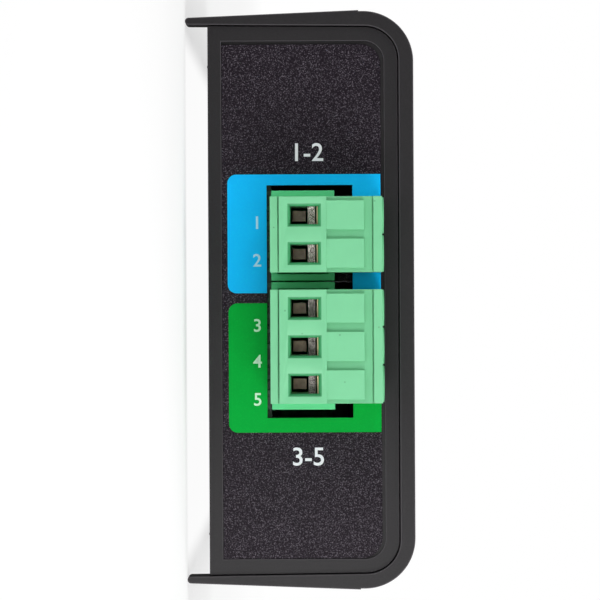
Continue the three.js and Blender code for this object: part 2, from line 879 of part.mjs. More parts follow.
function circuitBoard() {
  const board = block(
    [-boardHalf[0], boardHalf[0]],
    [-boardHalf[1], boardHalf[1]],
    [boardBottom, boardTop],
  );
  const holes = [
    ...pinHoles(polePlaces(powerPoles).map((x) => powerPlace + x), -1),
    ...pinHoles(polePlaces(inputPoles).map((x) => inputPlace + x), -1),
    ...pinHoles(polePlaces(outputWays), 1),
    ...screwPlaces.map((place) => rod(
      caseScrewRadius + caseScrewGap,
      coarseSides,
      place,
      [boardBottom - overrun, boardTop + overrun],
    )),
  ];
  const drivers = polePlaces(outputCount).map((x) => blockAt(
    [x * outputPoles, driverRow],
    driverSize,
    [boardTop - solderSink, boardTop + driverSize[2]],
  ));
  const lamps = lampPlaces.map((place) => blockAt(place, lampSize, [boardTop - solderSink, lampTop]));
  return joined([cut(board, holes), ...drivers, ...lamps]);
}

function boardPlace(shares) {
  return [shares[0] * boardHalf[0], shares[1] * boardHalf[1]];
}

function chip(size, shares) {
  return blockAt(boardPlace(shares), size, [boardTop, boardTop + size[2]]);
}

function filterCapacitor() {
  return rod(capacitorRadius, fineSides, boardPlace(capacitorShares), [boardTop, boardTop + capacitorTall]);
}

// Light guide: a rod over each lamp, joined by a bar under the cover's front wall
function lightGuide() {
  const rods = lampPlaces.map((place) => rod(
    guideRadius,
    fineSides,
    place,
    [lampTop + guideSeatGap, frontRecessFloor + labelThick],
  ));
  const barTopHeight = roof - guideSeatGap;
  const bar = blockAt(
    [0, lampRow],
    [(lampCount - 1) * lampPitch + 2 * guideRadius, guideBarThick],
    [barTopHeight - guideBarTall, barTopHeight],
  );
  return joined([bar, ...rods]);
}

// Case screw, with its axis along Z at the origin and its head at the back of the case
function caseScrew() {
  const headBottom = rearPlane + caseScrewGap;
  const half = [crossLong / 2, crossWide / 2];
  const deep = [headBottom - overrun, headBottom + crossDeep];
  const head = rod(caseScrewHeadRadius, fineSides, [0, 0], [headBottom, caseScrewSeat]);
  const shank = rod(
    caseScrewRadius,
    coarseSides,
    [0, 0],
    [caseScrewSeat - caseScrewHeadTall / 2, caseScrewSeat + caseScrewLong],
  );
  return cut(head.add(shank), [
    block([-half[0], half[0]], [-half[1], half[1]], deep),
    block([-half[1], half[1]], [-half[0], half[0]], deep),
  ]);
}

// Latch: a bar with flanges that slide in the guide, a claw for the rail and a tab to pull

function latchOutline() {
  const tip = railHalf - hookOverlap;
  const shoulder = channelHalf + latchGap;
  return polygon([
    [tip, clawTop],
    [tip + clawThick / 2, rearPlane],
    [flangeTo, rearPlane],
    [flangeTo, latchTop],
    [shoulder, latchTop],
    [shoulder, clawTop],
  ]);
}

function dinLatch() {
  const half = latchWide / 2;
  const pocketHalf = springRadius + springWire / 2 + springSideGap;
  const bar = alongX(latchOutline(), [-half, half]);
  const flanges = block([-flangeHalf, flangeHalf], [flangeFrom, flangeTo], [flangeBottom, latchTop]);
  const tabEnd = hoodEnd + tabReach;
  const tab = block(
    [-tabWide / 2, tabWide / 2],
    [flangeTo - overrun, tabEnd],
    [rearPlane, rearPlane + tabThick],
  );
  const pocket = block([-pocketHalf, pocketHalf], [pocketFrom, pocketTo], [-overrun, tunnelTop]);
  const slot = block(
    [-tabSlotWide / 2, tabSlotWide / 2],
    [tabEnd - tabSlotInset - tabSlotLong, tabEnd - tabSlotInset],
    [-overrun, tunnelTop],
  );
  const nub = rodAlongY(
    nubRadius,
    coarseSides,
    [0, springHeight],
    [pocketFrom - nubLong / 2, pocketFrom + nubLong],
  );
  return cut(joined([bar, flanges, tab]), [pocket, slot]).add(nub);
}

// Spring: one wire wound round an axis along Y, with both ends straight for one wire diameter

const springStepsPerTurn = 8;
const springSides = 5;

function springPath() {
  const points = [new THREE.Vector3(springRadius, 0, 0)];
  for (let step = 0; step <= springTurns * springStepsPerTurn; step += 1) {
    const turn = step / springStepsPerTurn;
    const angle = turn * Math.PI * 2;
    points.push(new THREE.Vector3(
      springRadius * Math.cos(angle),
      springWire + turn * springPitch,
      springRadius * Math.sin(angle),
    ));
  }
  points.push(new THREE.Vector3(springRadius, springLong, 0));
  return points;
}

// The least distance between two windings, less the wire's diameter
function leastGap(points) {
  let least = Infinity;
  points.forEach((point, i) => {
    points.slice(i + springStepsPerTurn - 1).forEach((other) => {
      least = Math.min(least, point.distanceTo(other) - springWire);
    });
  });
  return least;
}

function springGeometry() {
  const path = springPath();
  console.log(`latch spring: least gap to itself ${leastGap(path).toFixed(2)} mm`);
  const axis = new THREE.Vector3(0, 1, 0);
  const corners = [];
  path.forEach((point, i) => {
    const before = path[Math.max(i - 1, 0)];
    const after = path[Math.min(i + 1, path.length - 1)];
    const along = after.clone().sub(before).normalize();
    const outward = new THREE.Vector3(point.x, 0, point.z).normalize();
    outward.addScaledVector(along, -outward.dot(along)).normalize();
    const third = along.clone().cross(outward);
    for (let side = 0; side < springSides; side += 1) {
      const angle = (side / springSides) * Math.PI * 2;
      const corner = point.clone();
      corner.addScaledVector(outward, (Math.cos(angle) * springWire) / 2);
      corner.addScaledVector(third, (Math.sin(angle) * springWire) / 2);
      if (i === 0 || i === path.length - 1) {
        corner.setComponent(1, point.dot(axis));
      }
      corners.push(corner.x, corner.y, corner.z);
    }
  });
  const faces = [];
  const at = (ring, side) => ring * springSides + (side % springSides);
  for (let ring = 0; ring < path.length - 1; ring += 1) {
    for (let side = 0; side < springSides; side += 1) {
      faces.push(at(ring, side), at(ring, side + 1), at(ring + 1, side + 1));
      faces.push(at(ring, side), at(ring + 1, side + 1), at(ring + 1, side));
    }
  }
  for (let side = 1; side < springSides - 1; side += 1) {
    faces.push(at(0, 0), at(0, side + 1), at(0, side));
    faces.push(at(path.length - 1, 0), at(path.length - 1, side), at(path.length - 1, side + 1));
  }
  const geometry = new THREE.BufferGeometry();
  geometry.setAttribute("position", new THREE.Float32BufferAttribute(corners, 3));
  geometry.setIndex(faces);
  return geometry;
}

// The whole splitter

const splitter = new THREE.Group();
splitter.add(
  piece("top_cover", geometryOf(topCover()), "caseBlack"),
  piece("base_tray", geometryOf(baseTray()), "caseBlack"),
  piece("front_label", geometryOf(frontLabel()), "labelBlack"),
  piece("input_label", geometryOf(endLabel(-1, inputWindow)), "labelBlack"),
  piece("output_label", geometryOf(endLabel(1, outputWindow)), "labelBlack"),
  piece("circuit_board", geometryOf(circuitBoard()), "boardGreen"),
  piece("isolated_converter", geometryOf(chip(converterSize, converterShares)), "chipBlack"),
  piece("controller_chip", geometryOf(chip(controllerSize, controllerShares)), "chipBlack"),
  piece("input_isolator", geometryOf(chip(isolatorSize, isolatorShares)), "chipBlack"),
  piece("filter_capacitor", geometryOf(filterCapacitor()), "canSilver"),
  piece("light_guide", geometryOf(lightGuide()), "clear"),
  piece("din_latch", geometryOf(dinLatch()), "latchGrey"),
  piece("latch_spring", springGeometry(), "steel", [0, springFrom, springHeight]),
  inputEnd(),
  outputEnd(),
);
const caseScrewGeometry = geometryOf(caseScrew());
screwPlaces.forEach(([x, y], screw) => {
  splitter.add(piece(`case_screw_${screw + 1}`, caseScrewGeometry, "blackSteel", [x, y, 0]));
});

export default splitter;
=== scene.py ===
import math

import bmesh
import bpy
from bpy.props import FloatProperty, FloatVectorProperty, PointerProperty
from mathutils import Matrix, Vector


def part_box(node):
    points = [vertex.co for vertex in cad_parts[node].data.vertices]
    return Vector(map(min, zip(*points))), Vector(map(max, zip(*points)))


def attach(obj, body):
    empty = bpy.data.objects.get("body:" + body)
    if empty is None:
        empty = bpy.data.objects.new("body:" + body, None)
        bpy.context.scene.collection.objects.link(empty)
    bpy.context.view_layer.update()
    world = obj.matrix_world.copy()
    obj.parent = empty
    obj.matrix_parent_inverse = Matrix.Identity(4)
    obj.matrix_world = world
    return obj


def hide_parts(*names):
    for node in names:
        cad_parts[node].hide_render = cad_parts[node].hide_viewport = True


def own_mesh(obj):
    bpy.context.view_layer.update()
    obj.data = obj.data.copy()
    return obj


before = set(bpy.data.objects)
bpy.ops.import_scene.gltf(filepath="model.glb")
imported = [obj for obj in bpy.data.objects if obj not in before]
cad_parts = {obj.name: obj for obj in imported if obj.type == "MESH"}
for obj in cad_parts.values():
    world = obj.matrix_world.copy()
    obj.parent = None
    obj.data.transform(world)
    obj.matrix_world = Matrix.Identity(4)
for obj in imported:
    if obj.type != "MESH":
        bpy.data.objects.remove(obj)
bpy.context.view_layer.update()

bl_info = {
    "name": "Lighting Data Splitter",
    "version": (1, 0, 0),
    "blender": (4, 5, 0),
    "location": "View3D > Sidebar > Splitter",
    "description": "Dresses the packed solids of a rail-mounted lighting data splitter",
    "category": "Object",
}

# Lengths inside this script are millimetres until a piece is finished.
MM = 0.001
# Faces that meet at more than this angle have a sharp edge between them.
SHARP = math.radians(50)
# A place matrix that only moves.
at = Matrix.Translation

# Poles of each plug and of each header, and the measures that they share with the board.
PLUG_POLES = {"power": 2, "input": 3, "output_1": 3, "output_2": 3, "output_3": 3, "output_4": 3}
HEADER_POLES = {"power": 2, "input": 3, "output": 12}
POLE_PITCH = 5.08
PLUG_PITCH = 3 * POLE_PITCH
SHOULDER = 52.0
BOARD_TOP = 11.5
SCREW_PLACE = -5.2

# Outer faces of the labels, half the thickness of their numbers, and how far a print reaches into them.
END_FACE = 51.75
FRONT_FACE = 30.75
MARK_DEPTH = 0.012
PRINT_ROOT = 0.01


def screen(*levels):
    """A colour as it is seen on a screen, 0 to 255, turned to the linear values that materials take."""
    shares = (level / 255 for level in levels)
    return tuple(share / 12.92 if share <= 0.04045 else ((share + 0.055) / 1.055) ** 2.4 for share in shares)


def colour(name, description, default):
    return FloatVectorProperty(
        name=name, description=description, subtype="COLOR", size=3, min=0, max=1, default=screen(*default))


def length(name, description, default):
    return FloatProperty(
        name=name, description=description, subtype="DISTANCE", unit="LENGTH", min=0, precision=5,
        default=default * MM)


class SplitterFinishes(bpy.types.PropertyGroup):
    case: colour("Case", "Moulded plastic of the cover and the base", (31, 29, 31))
    label: colour("Label Film", "Dark ground of the printed labels", (26, 20, 27))
    label_glint: colour("Label Glint", "Light grains in the label film", (106, 99, 108))
    power_print: colour("Power Print", "Printed block round the power plug", (18, 184, 252))
    data_print: colour("Data Print", "Printed blocks round the data plugs", (0, 160, 56))
    mark_print: colour("Mark Print", "Printed numbers on the dark film", (226, 228, 232))
    plug: colour("Plug", "Plastic of the pluggable terminals", (117, 197, 147))
    header: colour("Header", "Plastic of the board headers", (90, 211, 141))
    brass: colour("Clamp", "Yellow plating of the clamp cages", (204, 190, 146))
    steel: colour("Steel", "Plated screws, current bars and pins", (176, 170, 164))
    board: colour("Board", "Solder mask of the circuit board", (22, 74, 46))
    latch: colour("Latch", "Smooth plastic of the rail latch", (34, 33, 35))


class SplitterSizes(bpy.types.PropertyGroup):
    cover_edge: length("Cover Edge", "Rounding of the cover's edges", 0.14)
    base_edge: length("Base Edge", "Rounding of the base's edges", 0.09)
    label_edge: length("Label Edge", "Rounding of the labels' cut edges", 0.04)
    plug_edge: length("Plug Edge", "Rounding of the plugs' edges", 0.06)
    small_edge: length("Small Edge", "Rounding of the small metal and board parts", 0.08)
    arc_step: length("Arc Step", "Longest straight step along a rounded outline", 0.35)
    print_height: length("Print Height", "How far a printed block stands on its label", 0.02)
    pole_marks: length("Pole Marks", "Height of the numbers beside the plugs", 1.75)
    heading_marks: length("Heading Marks", "Height of the numbers above the printed blocks", 2.5)
    thread_pitch: length("Thread Pitch", "Rise of a clamp screw's thread in one turn", 0.5)
    knurl_depth: length("Knurl Depth", "Height of the grain on the current bars", 0.07)


def power(name, description, default):
    return FloatProperty(name=name, description=description, subtype="POWER", unit="POWER", default=default)


def ratio(name, description, default):
    return FloatProperty(name=name, description=description, subtype="FACTOR", min=0, max=1, default=default)


class SplitterStage(bpy.types.PropertyGroup):
    distance: length("Camera Distance", "From the camera to the end wall", 507)
    camera_rise: length("Camera Rise", "Height of the camera over the point it is aimed at", 2.6)
    lens: FloatProperty(name="Lens", description="Focal length for a 36 mm sensor", unit="CAMERA",
                        default=225.1)
    tilt: FloatProperty(name="Tilt", description="Turn of the picture about its centre", subtype="ANGLE",
                        default=math.radians(-0.28))
    world_light: ratio("World Light", "Strength of the plain surrounding light", 0.28)
    left_light: power("Left Light", "Soft lamp on the power plug's side", 1.0)
    right_light: power("Right Light", "Soft lamp on the data plug's side", 0.85)
    back_light: power("Back Light", "Soft lamp behind the output end", 1.0)
    sheen_light: power("Sheen Light", "Low lamp that only puts a sheen on the end wall", 0.15)
    top_light: power("Top Light", "Large soft lamp overhead", 5.0)
    shadow: ratio("Shadow", "How much of the floor's shade the camera sees", 0.45)
    under_shadow: ratio("Shadow Underneath", "Part of that shade kept under the case", 0.08)


def size(name):
    """One of the sizes in the sidebar, in millimetres."""
    return getattr(bpy.context.scene.splitter_sizes, name) / MM


def stage():
    return bpy.context.scene.splitter_stage


# Materials

class Tree:
    """Short calls for adding nodes to a node tree."""

    def __init__(self, tree):
        self.tree = tree

    def node(self, kind, *inputs, output=0, family="ShaderNode", **named):
        """Adds a node and returns one of its outputs, or all of them where output is None. Inputs come in
        order, or by name with _ for a space, and None leaves one out. A name in small letters is a
        setting."""
        made = self.tree.nodes.new(family + kind)
        for key in filter(str.islower, named):
            setattr(made, key, named[key])
        by_name = {key.replace("_", " "): value for key, value in named.items() if not key.islower()}
        for key, value in (*enumerate(inputs), *by_name.items()):
            if value is not None:
                self.feed(made.inputs[key], value)
        return made.outputs if output is None else made.outputs[output]

    def feed(self, socket, value):
        """Links a socket to an output, or gives it a plain value."""
        if isinstance(value, bpy.types.NodeSocket):
            self.tree.links.new(value, socket)
        else:
            socket.default_value = value

    def number(self, kind, *values):
        return self.node("Math", *values, operation=kind)

    def times(self, one, other):
        return self.number("MULTIPLY", one, other)

    def minus(self, one, other):
        return self.number("SUBTRACT", one, other)

    def ranged(self, value, before, after, kind="LINEAR"):
        """Carries one span of values onto another, and holds what lies outside it."""
        return self.node("MapRange", value, *before, *after, interpolation_type=kind)


class Recipe(Tree):
    """One material, which is built up as shades of a tone, one over another."""

    def __init__(self, name, tone=None, metallic=0.0, specular=0.5):
        self.material = bpy.data.materials.new(name)
        self.material.use_nodes = True
        super().__init__(self.material.node_tree)
        self.shader = self.tree.nodes["Principled BSDF"]
        self.set({"Metallic": metallic, "Specular IOR Level": specular})
        self.place = self.node("TexCoord", output="Object")
        self.tone = tone and tone_of(tone)
        self.colour = None

    def set(self, values):
        for key, value in values.items():
            self.feed(self.shader.inputs[key], value)

    def moved(self, stretch=(1, 1, 1), turn=(0, 0, 0)):
        return self.node("Mapping", Vector=self.place, Scale=stretch, Rotation=turn)

    def noise(self, grain, detail=2.0, stretch=(1, 1, 1), rough=0.5):
        """Noise whose cells are about grain millimetres wide."""
        scale = 1 / (grain * MM)
        return self.node("TexNoise", Vector=self.moved(stretch), Scale=scale, Detail=detail, Roughness=rough)

    def cells(self, grain):
        """How far each place is from the nearest of many scattered points."""
        return self.node("TexVoronoi", Vector=self.moved(), Scale=1 / (grain * MM))

    def marked(self, layer):
        """What a piece's own corner attribute says, and 0 where it has none."""
        return self.node("Attribute", output="Fac", attribute_name=layer)

    def mix(self, share, below, above):
        ends = ((*tone, 1) if isinstance(tone, tuple) else tone for tone in (below, above))
        self.colour = self.node("Mix", share, *[None] * 5, *ends, output=2, data_type="RGBA")

    def vary(self, share, dark, light):
        """The first coat, between two shades of the tone."""
        self.mix(share, shade(self.tone, dark), shade(self.tone, light))

    def over(self, share, *factors):
        """Another coat, of one shade."""
        self.mix(share, self.colour, shade(self.tone, *factors))

    def painted(self, dulling, relief):
        """The material with its colour, a value that takes its roughness from one end to the other, and a
        height that raises it by a depth in millimetres."""
        value, *ends = dulling
        height, depth = relief
        bump = self.node("Bump", Strength=1.0, Distance=depth * MM, Height=height)
        dull = self.ranged(value, (0.3, 0.7), ends)
        self.set({"Base Color": self.colour, "Roughness": dull, "Normal": bump})
        return self.material


def tone_of(tone):
    """A finish by its name, or a colour as it is seen on a screen."""
    finishes = bpy.context.scene.splitter_finishes
    return tuple(getattr(finishes, tone)) if isinstance(tone, str) else screen(*tone)


def shade(tone, *factors):
    """A tone made lighter or darker, by one factor or by one for each channel."""
    factors = factors if len(factors) == 3 else factors * 3
    return tuple(min(1.0, channel * factor) for channel, factor in zip(tone, factors))


def case_plastic(name, tone, roughness=(0.66, 0.5), grain=0.22, depth=0.012):
    """Spark-eroded black plastic: fine matt grain, faint clouding, and a painted highlight on the rounded
    edges.
    """
    recipe = Recipe(name, tone, specular=0.28)
    grains, clouds = recipe.noise(grain, 3), recipe.noise(14, 3)
    recipe.vary(clouds, 0.8, 1.22)
    recipe.over(recipe.ranged(grains, (0.35, 0.65), (0, 0.35)), 1.6)
    # Painted highlight: the rounded edges that ease_edges marks are painted four times lighter.
    recipe.over(recipe.marked("worn"), 4.0)
    return recipe.painted((recipe.times(grains, clouds), *roughness), (grains, depth))


def label_film(name, tone, light):
    """Textured film with light grains scattered on a dark ground."""
    recipe = Recipe(name, tone, specular=0.08)
    dots, fine = recipe.cells(0.17), recipe.noise(0.22, 1)
    recipe.vary(recipe.noise(17, 2), 0.75, 1.35)
    glint = recipe.times(recipe.ranged(dots, (0.2, 0.55), (1, 0)), recipe.ranged(fine, (0.38, 0.66), (0, 1)))
    recipe.mix(glint, recipe.colour, tone_of(light))
    return recipe.painted((fine, 0.7, 0.45), (dots, 0.03))


def printed_ink(name, tone, spread=0.06):
    """Screen print on the film, thin enough that the film's grain shows in its gloss."""
    recipe = Recipe(name, tone, specular=0.04)
    grains = recipe.noise(0.24, 2)
    recipe.vary(recipe.noise(6, 2), 1 - spread, 1 + spread)
    recipe.over(recipe.ranged(grains, (0.5, 0.8), (0, 0.3)), 1.35)
    return recipe.painted((grains, 0.6, 0.42), (grains, 0.012))


def terminal_plastic(name, tone, specks):
    """Semi-matt moulded polyamide: soft clouding, fine grain, painted shade in the hollows and a few dark
    specks.
    """
    recipe = Recipe(name, tone, specular=0.3)
    clouds, grains = recipe.noise(3.2, 3), recipe.noise(0.16, 2)
    recipe.vary(clouds, 0.94, 1.05)
    # Painted shade: faces that the plugs mark as recesses are painted a deeper green.
    recipe.over(recipe.marked("hollow"), 0.3, 0.62, 0.46)
    recipe.over(recipe.ranged(recipe.cells(2.6), (0.03, 0.055), (specks, 0.0)), 0.35)
    return recipe.painted((recipe.times(clouds, grains), 0.52, 0.34), (grains, 0.006))


def plated_metal(name, tone, roughness, stretch=(1, 1, 1), tarnish=0.75):
    """Plated metal with drawn scratches and slight tarnish."""
    recipe = Recipe(name, tone, metallic=1.0)
    scratches = recipe.noise(0.12, 4, stretch, 0.7)
    recipe.vary(recipe.ranged(recipe.noise(0.9, 3), (0.35, 0.7), (0, 1)), 1.0, tarnish)
    return recipe.painted((scratches, roughness + 0.12, roughness - 0.1), (scratches, 0.008))


def knurled_metal(name, tone, light):
    """Plated metal with a fine pressed grain that catches the light in specks."""
    recipe = Recipe(name, tone, metallic=0.5)
    specks = recipe.noise(0.12, 1)
    recipe.vary(recipe.noise(0.5), 1.6 * light, 2.2 * light)
    # Painted shade in the knurl's hollows, under painted highlights in specks; light scales both, so a low
    # light gives a shaded copy.
    knurl_shade = shade(screen(92, 66, 66), light)
    recipe.mix(recipe.ranged(specks, (0.42, 0.56), (0, 1)), knurl_shade, recipe.colour)
    return recipe.painted((specks, 0.55, 0.35), (specks, 0.05))


def solder_mask(name, tone):
    """Green solder mask with copper tracks showing through as lighter lines."""
    recipe = Recipe(name, tone)
    across = recipe.moved(turn=(0, 0, math.radians(90)))
    tracks = recipe.node("TexBrick", Vector=across, Scale=120, Mortar_Size=0.035, Mortar_Smooth=0.1,
                         offset=0.5, squash=0.6, squash_frequency=3, output="Fac")
    weave = recipe.noise(0.5, 2, (1, 0.3, 1))
    recipe.vary(tracks, 0.9, 1.9)
    return recipe.painted((weave, 0.4, 0.24), (recipe.number("ADD", tracks, weave), 0.02))


def grained_plastic(name, dark, light, grain, roughness, stretch=(1, 1, 1), shader=()):
    """Plain moulded plastic whose tone, gloss and surface follow one grain."""
    recipe = Recipe(name)
    recipe.set(dict(shader))
    grains = recipe.noise(grain, 2, stretch)
    recipe.mix(grains, screen(*dark), screen(*light))
    return recipe.painted((grains, *roughness), (grains, 0.01))


CLEAR = {"Transmission Weight": 0.85, "IOR": 1.49}
RECIPES = {
    "case_plastic": (case_plastic, "case"),
    "latch_plastic": (case_plastic, "latch", (0.5, 0.34), 0.5, 0.006),
    "label_film": (label_film, "label", "label_glint"),
    "power_ink": (printed_ink, "power_print"),
    "data_ink": (printed_ink, "data_print"),
    "white_ink": (printed_ink, "mark_print", 0.03),
    "power_mark_ink": (printed_ink, (176, 222, 244), 0.03),
    "data_mark_ink": (printed_ink, (196, 236, 206), 0.03),
    "plug_plastic": (terminal_plastic, "plug", 0.55),
    "header_plastic": (terminal_plastic, "header", 0.3),
    "clamp_plating": (plated_metal, "brass", 0.34),
    "screw_plating": (plated_metal, "steel", 0.32, (1, 1, 3)),
    "bar_plating": (knurled_metal, "steel", 1.0),
    # A shaded copy of the bar plating: the same metal with painted shade, at about a third of the light.
    "tarnished_bar_plating": (knurled_metal, "steel", 0.36),
    "contact_plating": (plated_metal, (190, 180, 166), 0.5, (1, 0.3, 1), 0.7),
    "pin_plating": (plated_metal, "steel", 0.26, (1, 0.2, 1)),
    "spring_wire": (plated_metal, "steel", 0.25, (1, 4, 1)),
    "black_screw": (plated_metal, (58, 58, 60), 0.4, (1, 1, 2), 0.6),
    "capacitor_can": (plated_metal, (196, 198, 202), 0.3, (1, 1, 0.2), 0.9),
    "solder_mask": (solder_mask, "board"),
    "moulded_epoxy": (grained_plastic, (22, 22, 24), (44, 44, 47), 0.1, (0.7, 0.45)),
    "lamp_body": (grained_plastic, (226, 224, 206), (243, 242, 232), 0.3, (0.45, 0.25)),
    "clear_guide": (grained_plastic, (226, 234, 236), (243, 247, 248), 1.4, (0.22, 0.08), (1, 1, 0.2), CLEAR),
}


def material(name):
    """The material of this name, made when a piece first asks for it."""
    maker, *values = RECIPES[name]
    return bpy.data.materials.get(name) or maker(name, *values)


# Meshes

AXES = {"x": (1, 2), "y": (0, 2), "z": (0, 1)}


def dissolved(solid):
    bmesh.ops.dissolve_limit(solid, angle_limit=math.radians(0.6), verts=solid.verts, edges=solid.edges)
    solid.normal_update()


def solid_of(node, place=Matrix()):
    """A merged copy of a CAD node in millimetres, with its flat faces whole, in the frame at a place."""
    solid = bmesh.new()
    solid.from_mesh(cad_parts[node].data)
    bmesh.ops.scale(solid, vec=Vector((1 / MM,) * 3), verts=solid.verts)
    bmesh.ops.remove_doubles(solid, verts=solid.verts, dist=0.001)
    dissolved(solid)
    bmesh.ops.transform(solid, matrix=place.inverted(), verts=solid.verts)
    return solid


def box_of(node):
    """The low corner, the high corner and the middle of a CAD node, in millimetres."""
    low, high = (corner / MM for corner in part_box(node))
    return low, high, (low + high) / 2


def both_sides(x, z):
    return [(-x, z), (x, z)]


def corners(x, y):
    return [(a, b) for a in (-x, x) for b in (-y, y)]


def rounds(axis, centres, *radii):
    """Round outlines about an axis. A centre is the other two coordinates in order."""
    return [(axis, centre, radius) for centre in centres for radius in radii]


def round_arcs(solid, outlines):
    """Splits the straight steps of round outlines and moves the new corners onto the true circle."""
    for axis, (a, b), radius in outlines:
        i, j = AXES[axis]
        k = 3 - i - j

        def off(corner):
            return math.hypot(corner.co[i] - a, corner.co[j] - b)

        steps = [
            edge for edge in solid.edges
            if all(abs(off(corner) - radius) < 0.004 for corner in edge.verts)
            and abs(edge.verts[0].co[k] - edge.verts[1].co[k]) < 1e-3
        ]
        if not steps:
            raise RuntimeError(f"no outline of radius {radius} stands at {a}, {b}")
        longest = max(step.calc_length() for step in steps)
        cuts = max(1, round(longest / size("arc_step")) - 1)
        made = bmesh.ops.subdivide_edges(solid, edges=steps, cuts=cuts)
        for corner in (item for item in made["geom_inner"] if isinstance(item, bmesh.types.BMVert)):
            share = radius / off(corner)
            corner.co[i] = a + (corner.co[i] - a) * share
            corner.co[j] = b + (corner.co[j] - b) * share
    solid.normal_update()


def mark_faces(solid, layer, share_of):
    """Gives each face its share of a tone, in a corner attribute that the materials read."""
    layer = solid.loops.layers.float_color.new(layer)
    for face in solid.faces:
        share = share_of(face)
        for corner in face.loops:
            corner[layer] = (share, share, share, 1.0)


def ease_edges(solid, width, skip=None):
    """Rounds the outward edges of a solid, apart from those to skip, and marks the rounded faces for a
    painted highlight.
    """
    chosen = [
        edge for edge in solid.edges
        if len(edge.link_faces) == 2
        and edge.calc_face_angle_signed(0) > SHARP
        and not (skip and skip((edge.verts[0].co + edge.verts[1].co) / 2, edge))
    ]
    made = bmesh.ops.bevel(solid, geom=chosen, offset=width, offset_type="OFFSET", segments=2, profile=0.55,
                           affect="EDGES", clamp_overlap=False)
    rounded = set(made["faces"])
    # The rounded faces get a mark that the case plastic reads as a painted highlight.
    mark_faces(solid, "worn", lambda face: float(face in rounded))


def mesh_of(solid, name):
    mesh = bpy.data.meshes.new(name)
    solid.to_mesh(mesh)
    solid.free()
    return mesh


def added(name, data):
    """A new object with this data, in the scene."""
    obj = bpy.data.objects.new(name, data)
    bpy.context.scene.collection.objects.link(obj)
    return obj


def evaluated(obj):
    """The object's mesh with its modifiers applied."""
    graph = bpy.context.evaluated_depsgraph_get()
    graph.update()
    return bpy.data.meshes.new_from_object(obj.evaluated_get(graph), depsgraph=graph)


def combined(solid, tools, operation="DIFFERENCE"):
    """A solid with tools cut out of it or joined to it. The tools are bmeshes too."""
    group = bpy.data.collections.new("tools")
    bpy.context.scene.collection.children.link(group)
    body = added("body", mesh_of(solid, "body"))
    parts = [bpy.data.objects.new("tool", mesh_of(tool, "tool")) for tool in tools]
    for part in parts:
        group.objects.link(part)
    cutter = body.modifiers.new("cut", "BOOLEAN")
    cutter.operand_type = "COLLECTION"
    cutter.collection = group
    cutter.operation = operation
    cutter.solver = "EXACT"
    result = evaluated(body)
    out = bmesh.new()
    out.from_mesh(result)
    for part in (body, *parts):
        bpy.data.meshes.remove(part.data)
    bpy.data.collections.remove(group)
    bpy.data.meshes.remove(result)
    bmesh.ops.remove_doubles(out, verts=out.verts, dist=0.0005)
    dissolved(out)
    return out


def block(low, high):
    solid = bmesh.new()
    bmesh.ops.create_cube(solid, size=1)
    for corner in solid.verts:
        corner.co = Vector(high[n] if corner.co[n] > 0 else low[n] for n in range(3))
    return solid


def lofted(rings):
    """A solid with flat ends through closed rings of points, which all have the same number of them."""
    solid = bmesh.new()
    rings = [[solid.verts.new(point) for point in ring] for ring in rings]
    solid.faces.new(rings[0])
    solid.faces.new(rings[-1])
    for lower, upper in zip(rings, rings[1:]):
        for n in range(len(lower)):
            m = (n + 1) % len(lower)
            solid.faces.new((lower[n], lower[m], upper[m], upper[n]))
    bmesh.ops.recalc_face_normals(solid, faces=solid.faces)
    return solid


def prism(outline, low, high, axis="z"):
    """A closed outline carried along an axis. Its points are the other two coordinates in order."""
    k = "xyz".index(axis)
    return lofted([[(*point[:k], along, *point[k:]) for point in outline] for along in (low, high)])


def arc(centre, radius, start, end, steps=8):
    """Points on an arc, with its angles in quarters of a turn."""
    return [
        (centre[0] + radius * math.cos(angle), centre[1] + radius * math.sin(angle))
        for angle in ((start + (end - start) * n / steps) * math.pi / 2 for n in range(steps + 1))
    ]


def circle(centre, radius, steps=40):
    return arc(centre, radius, 0, 4, steps)[:-1]


def finished(name, solid, finish, replaces=(), body="housing", place=Matrix()):
    """Turns a mesh or solid in millimetres into a smooth-shaded piece that rides on a body. The mesh is
    used up, and the place is where its own frame goes."""
    mesh = mesh_of(solid, name) if isinstance(solid, bmesh.types.BMesh) else solid
    mesh.transform(place)
    mesh.transform(Matrix.Scale(MM, 4))
    mesh.materials.clear()
    mesh.materials.append(material(finish))
    mesh.shade_smooth()
    mesh.set_sharp_from_angle(angle=SHARP)
    piece = added(name, mesh)
    weights = piece.modifiers.new("weights", "WEIGHTED_NORMAL")
    weights.keep_sharp = True
    weights.weight = 60
    piece.data = evaluated(piece)
    piece.data.name = name
    piece.modifiers.clear()
    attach(piece, body)
    if replaces:
        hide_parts(*replaces)
    return piece


def dressed(node, name, edge, finish, outlines=(), body="housing"):
    """A CAD node as it is, with true arcs and eased edges."""
    solid = solid_of(node)
    round_arcs(solid, outlines)
    ease_edges(solid, edge)
    return finished(name, solid, finish, [node], body)


# Geometry node trees

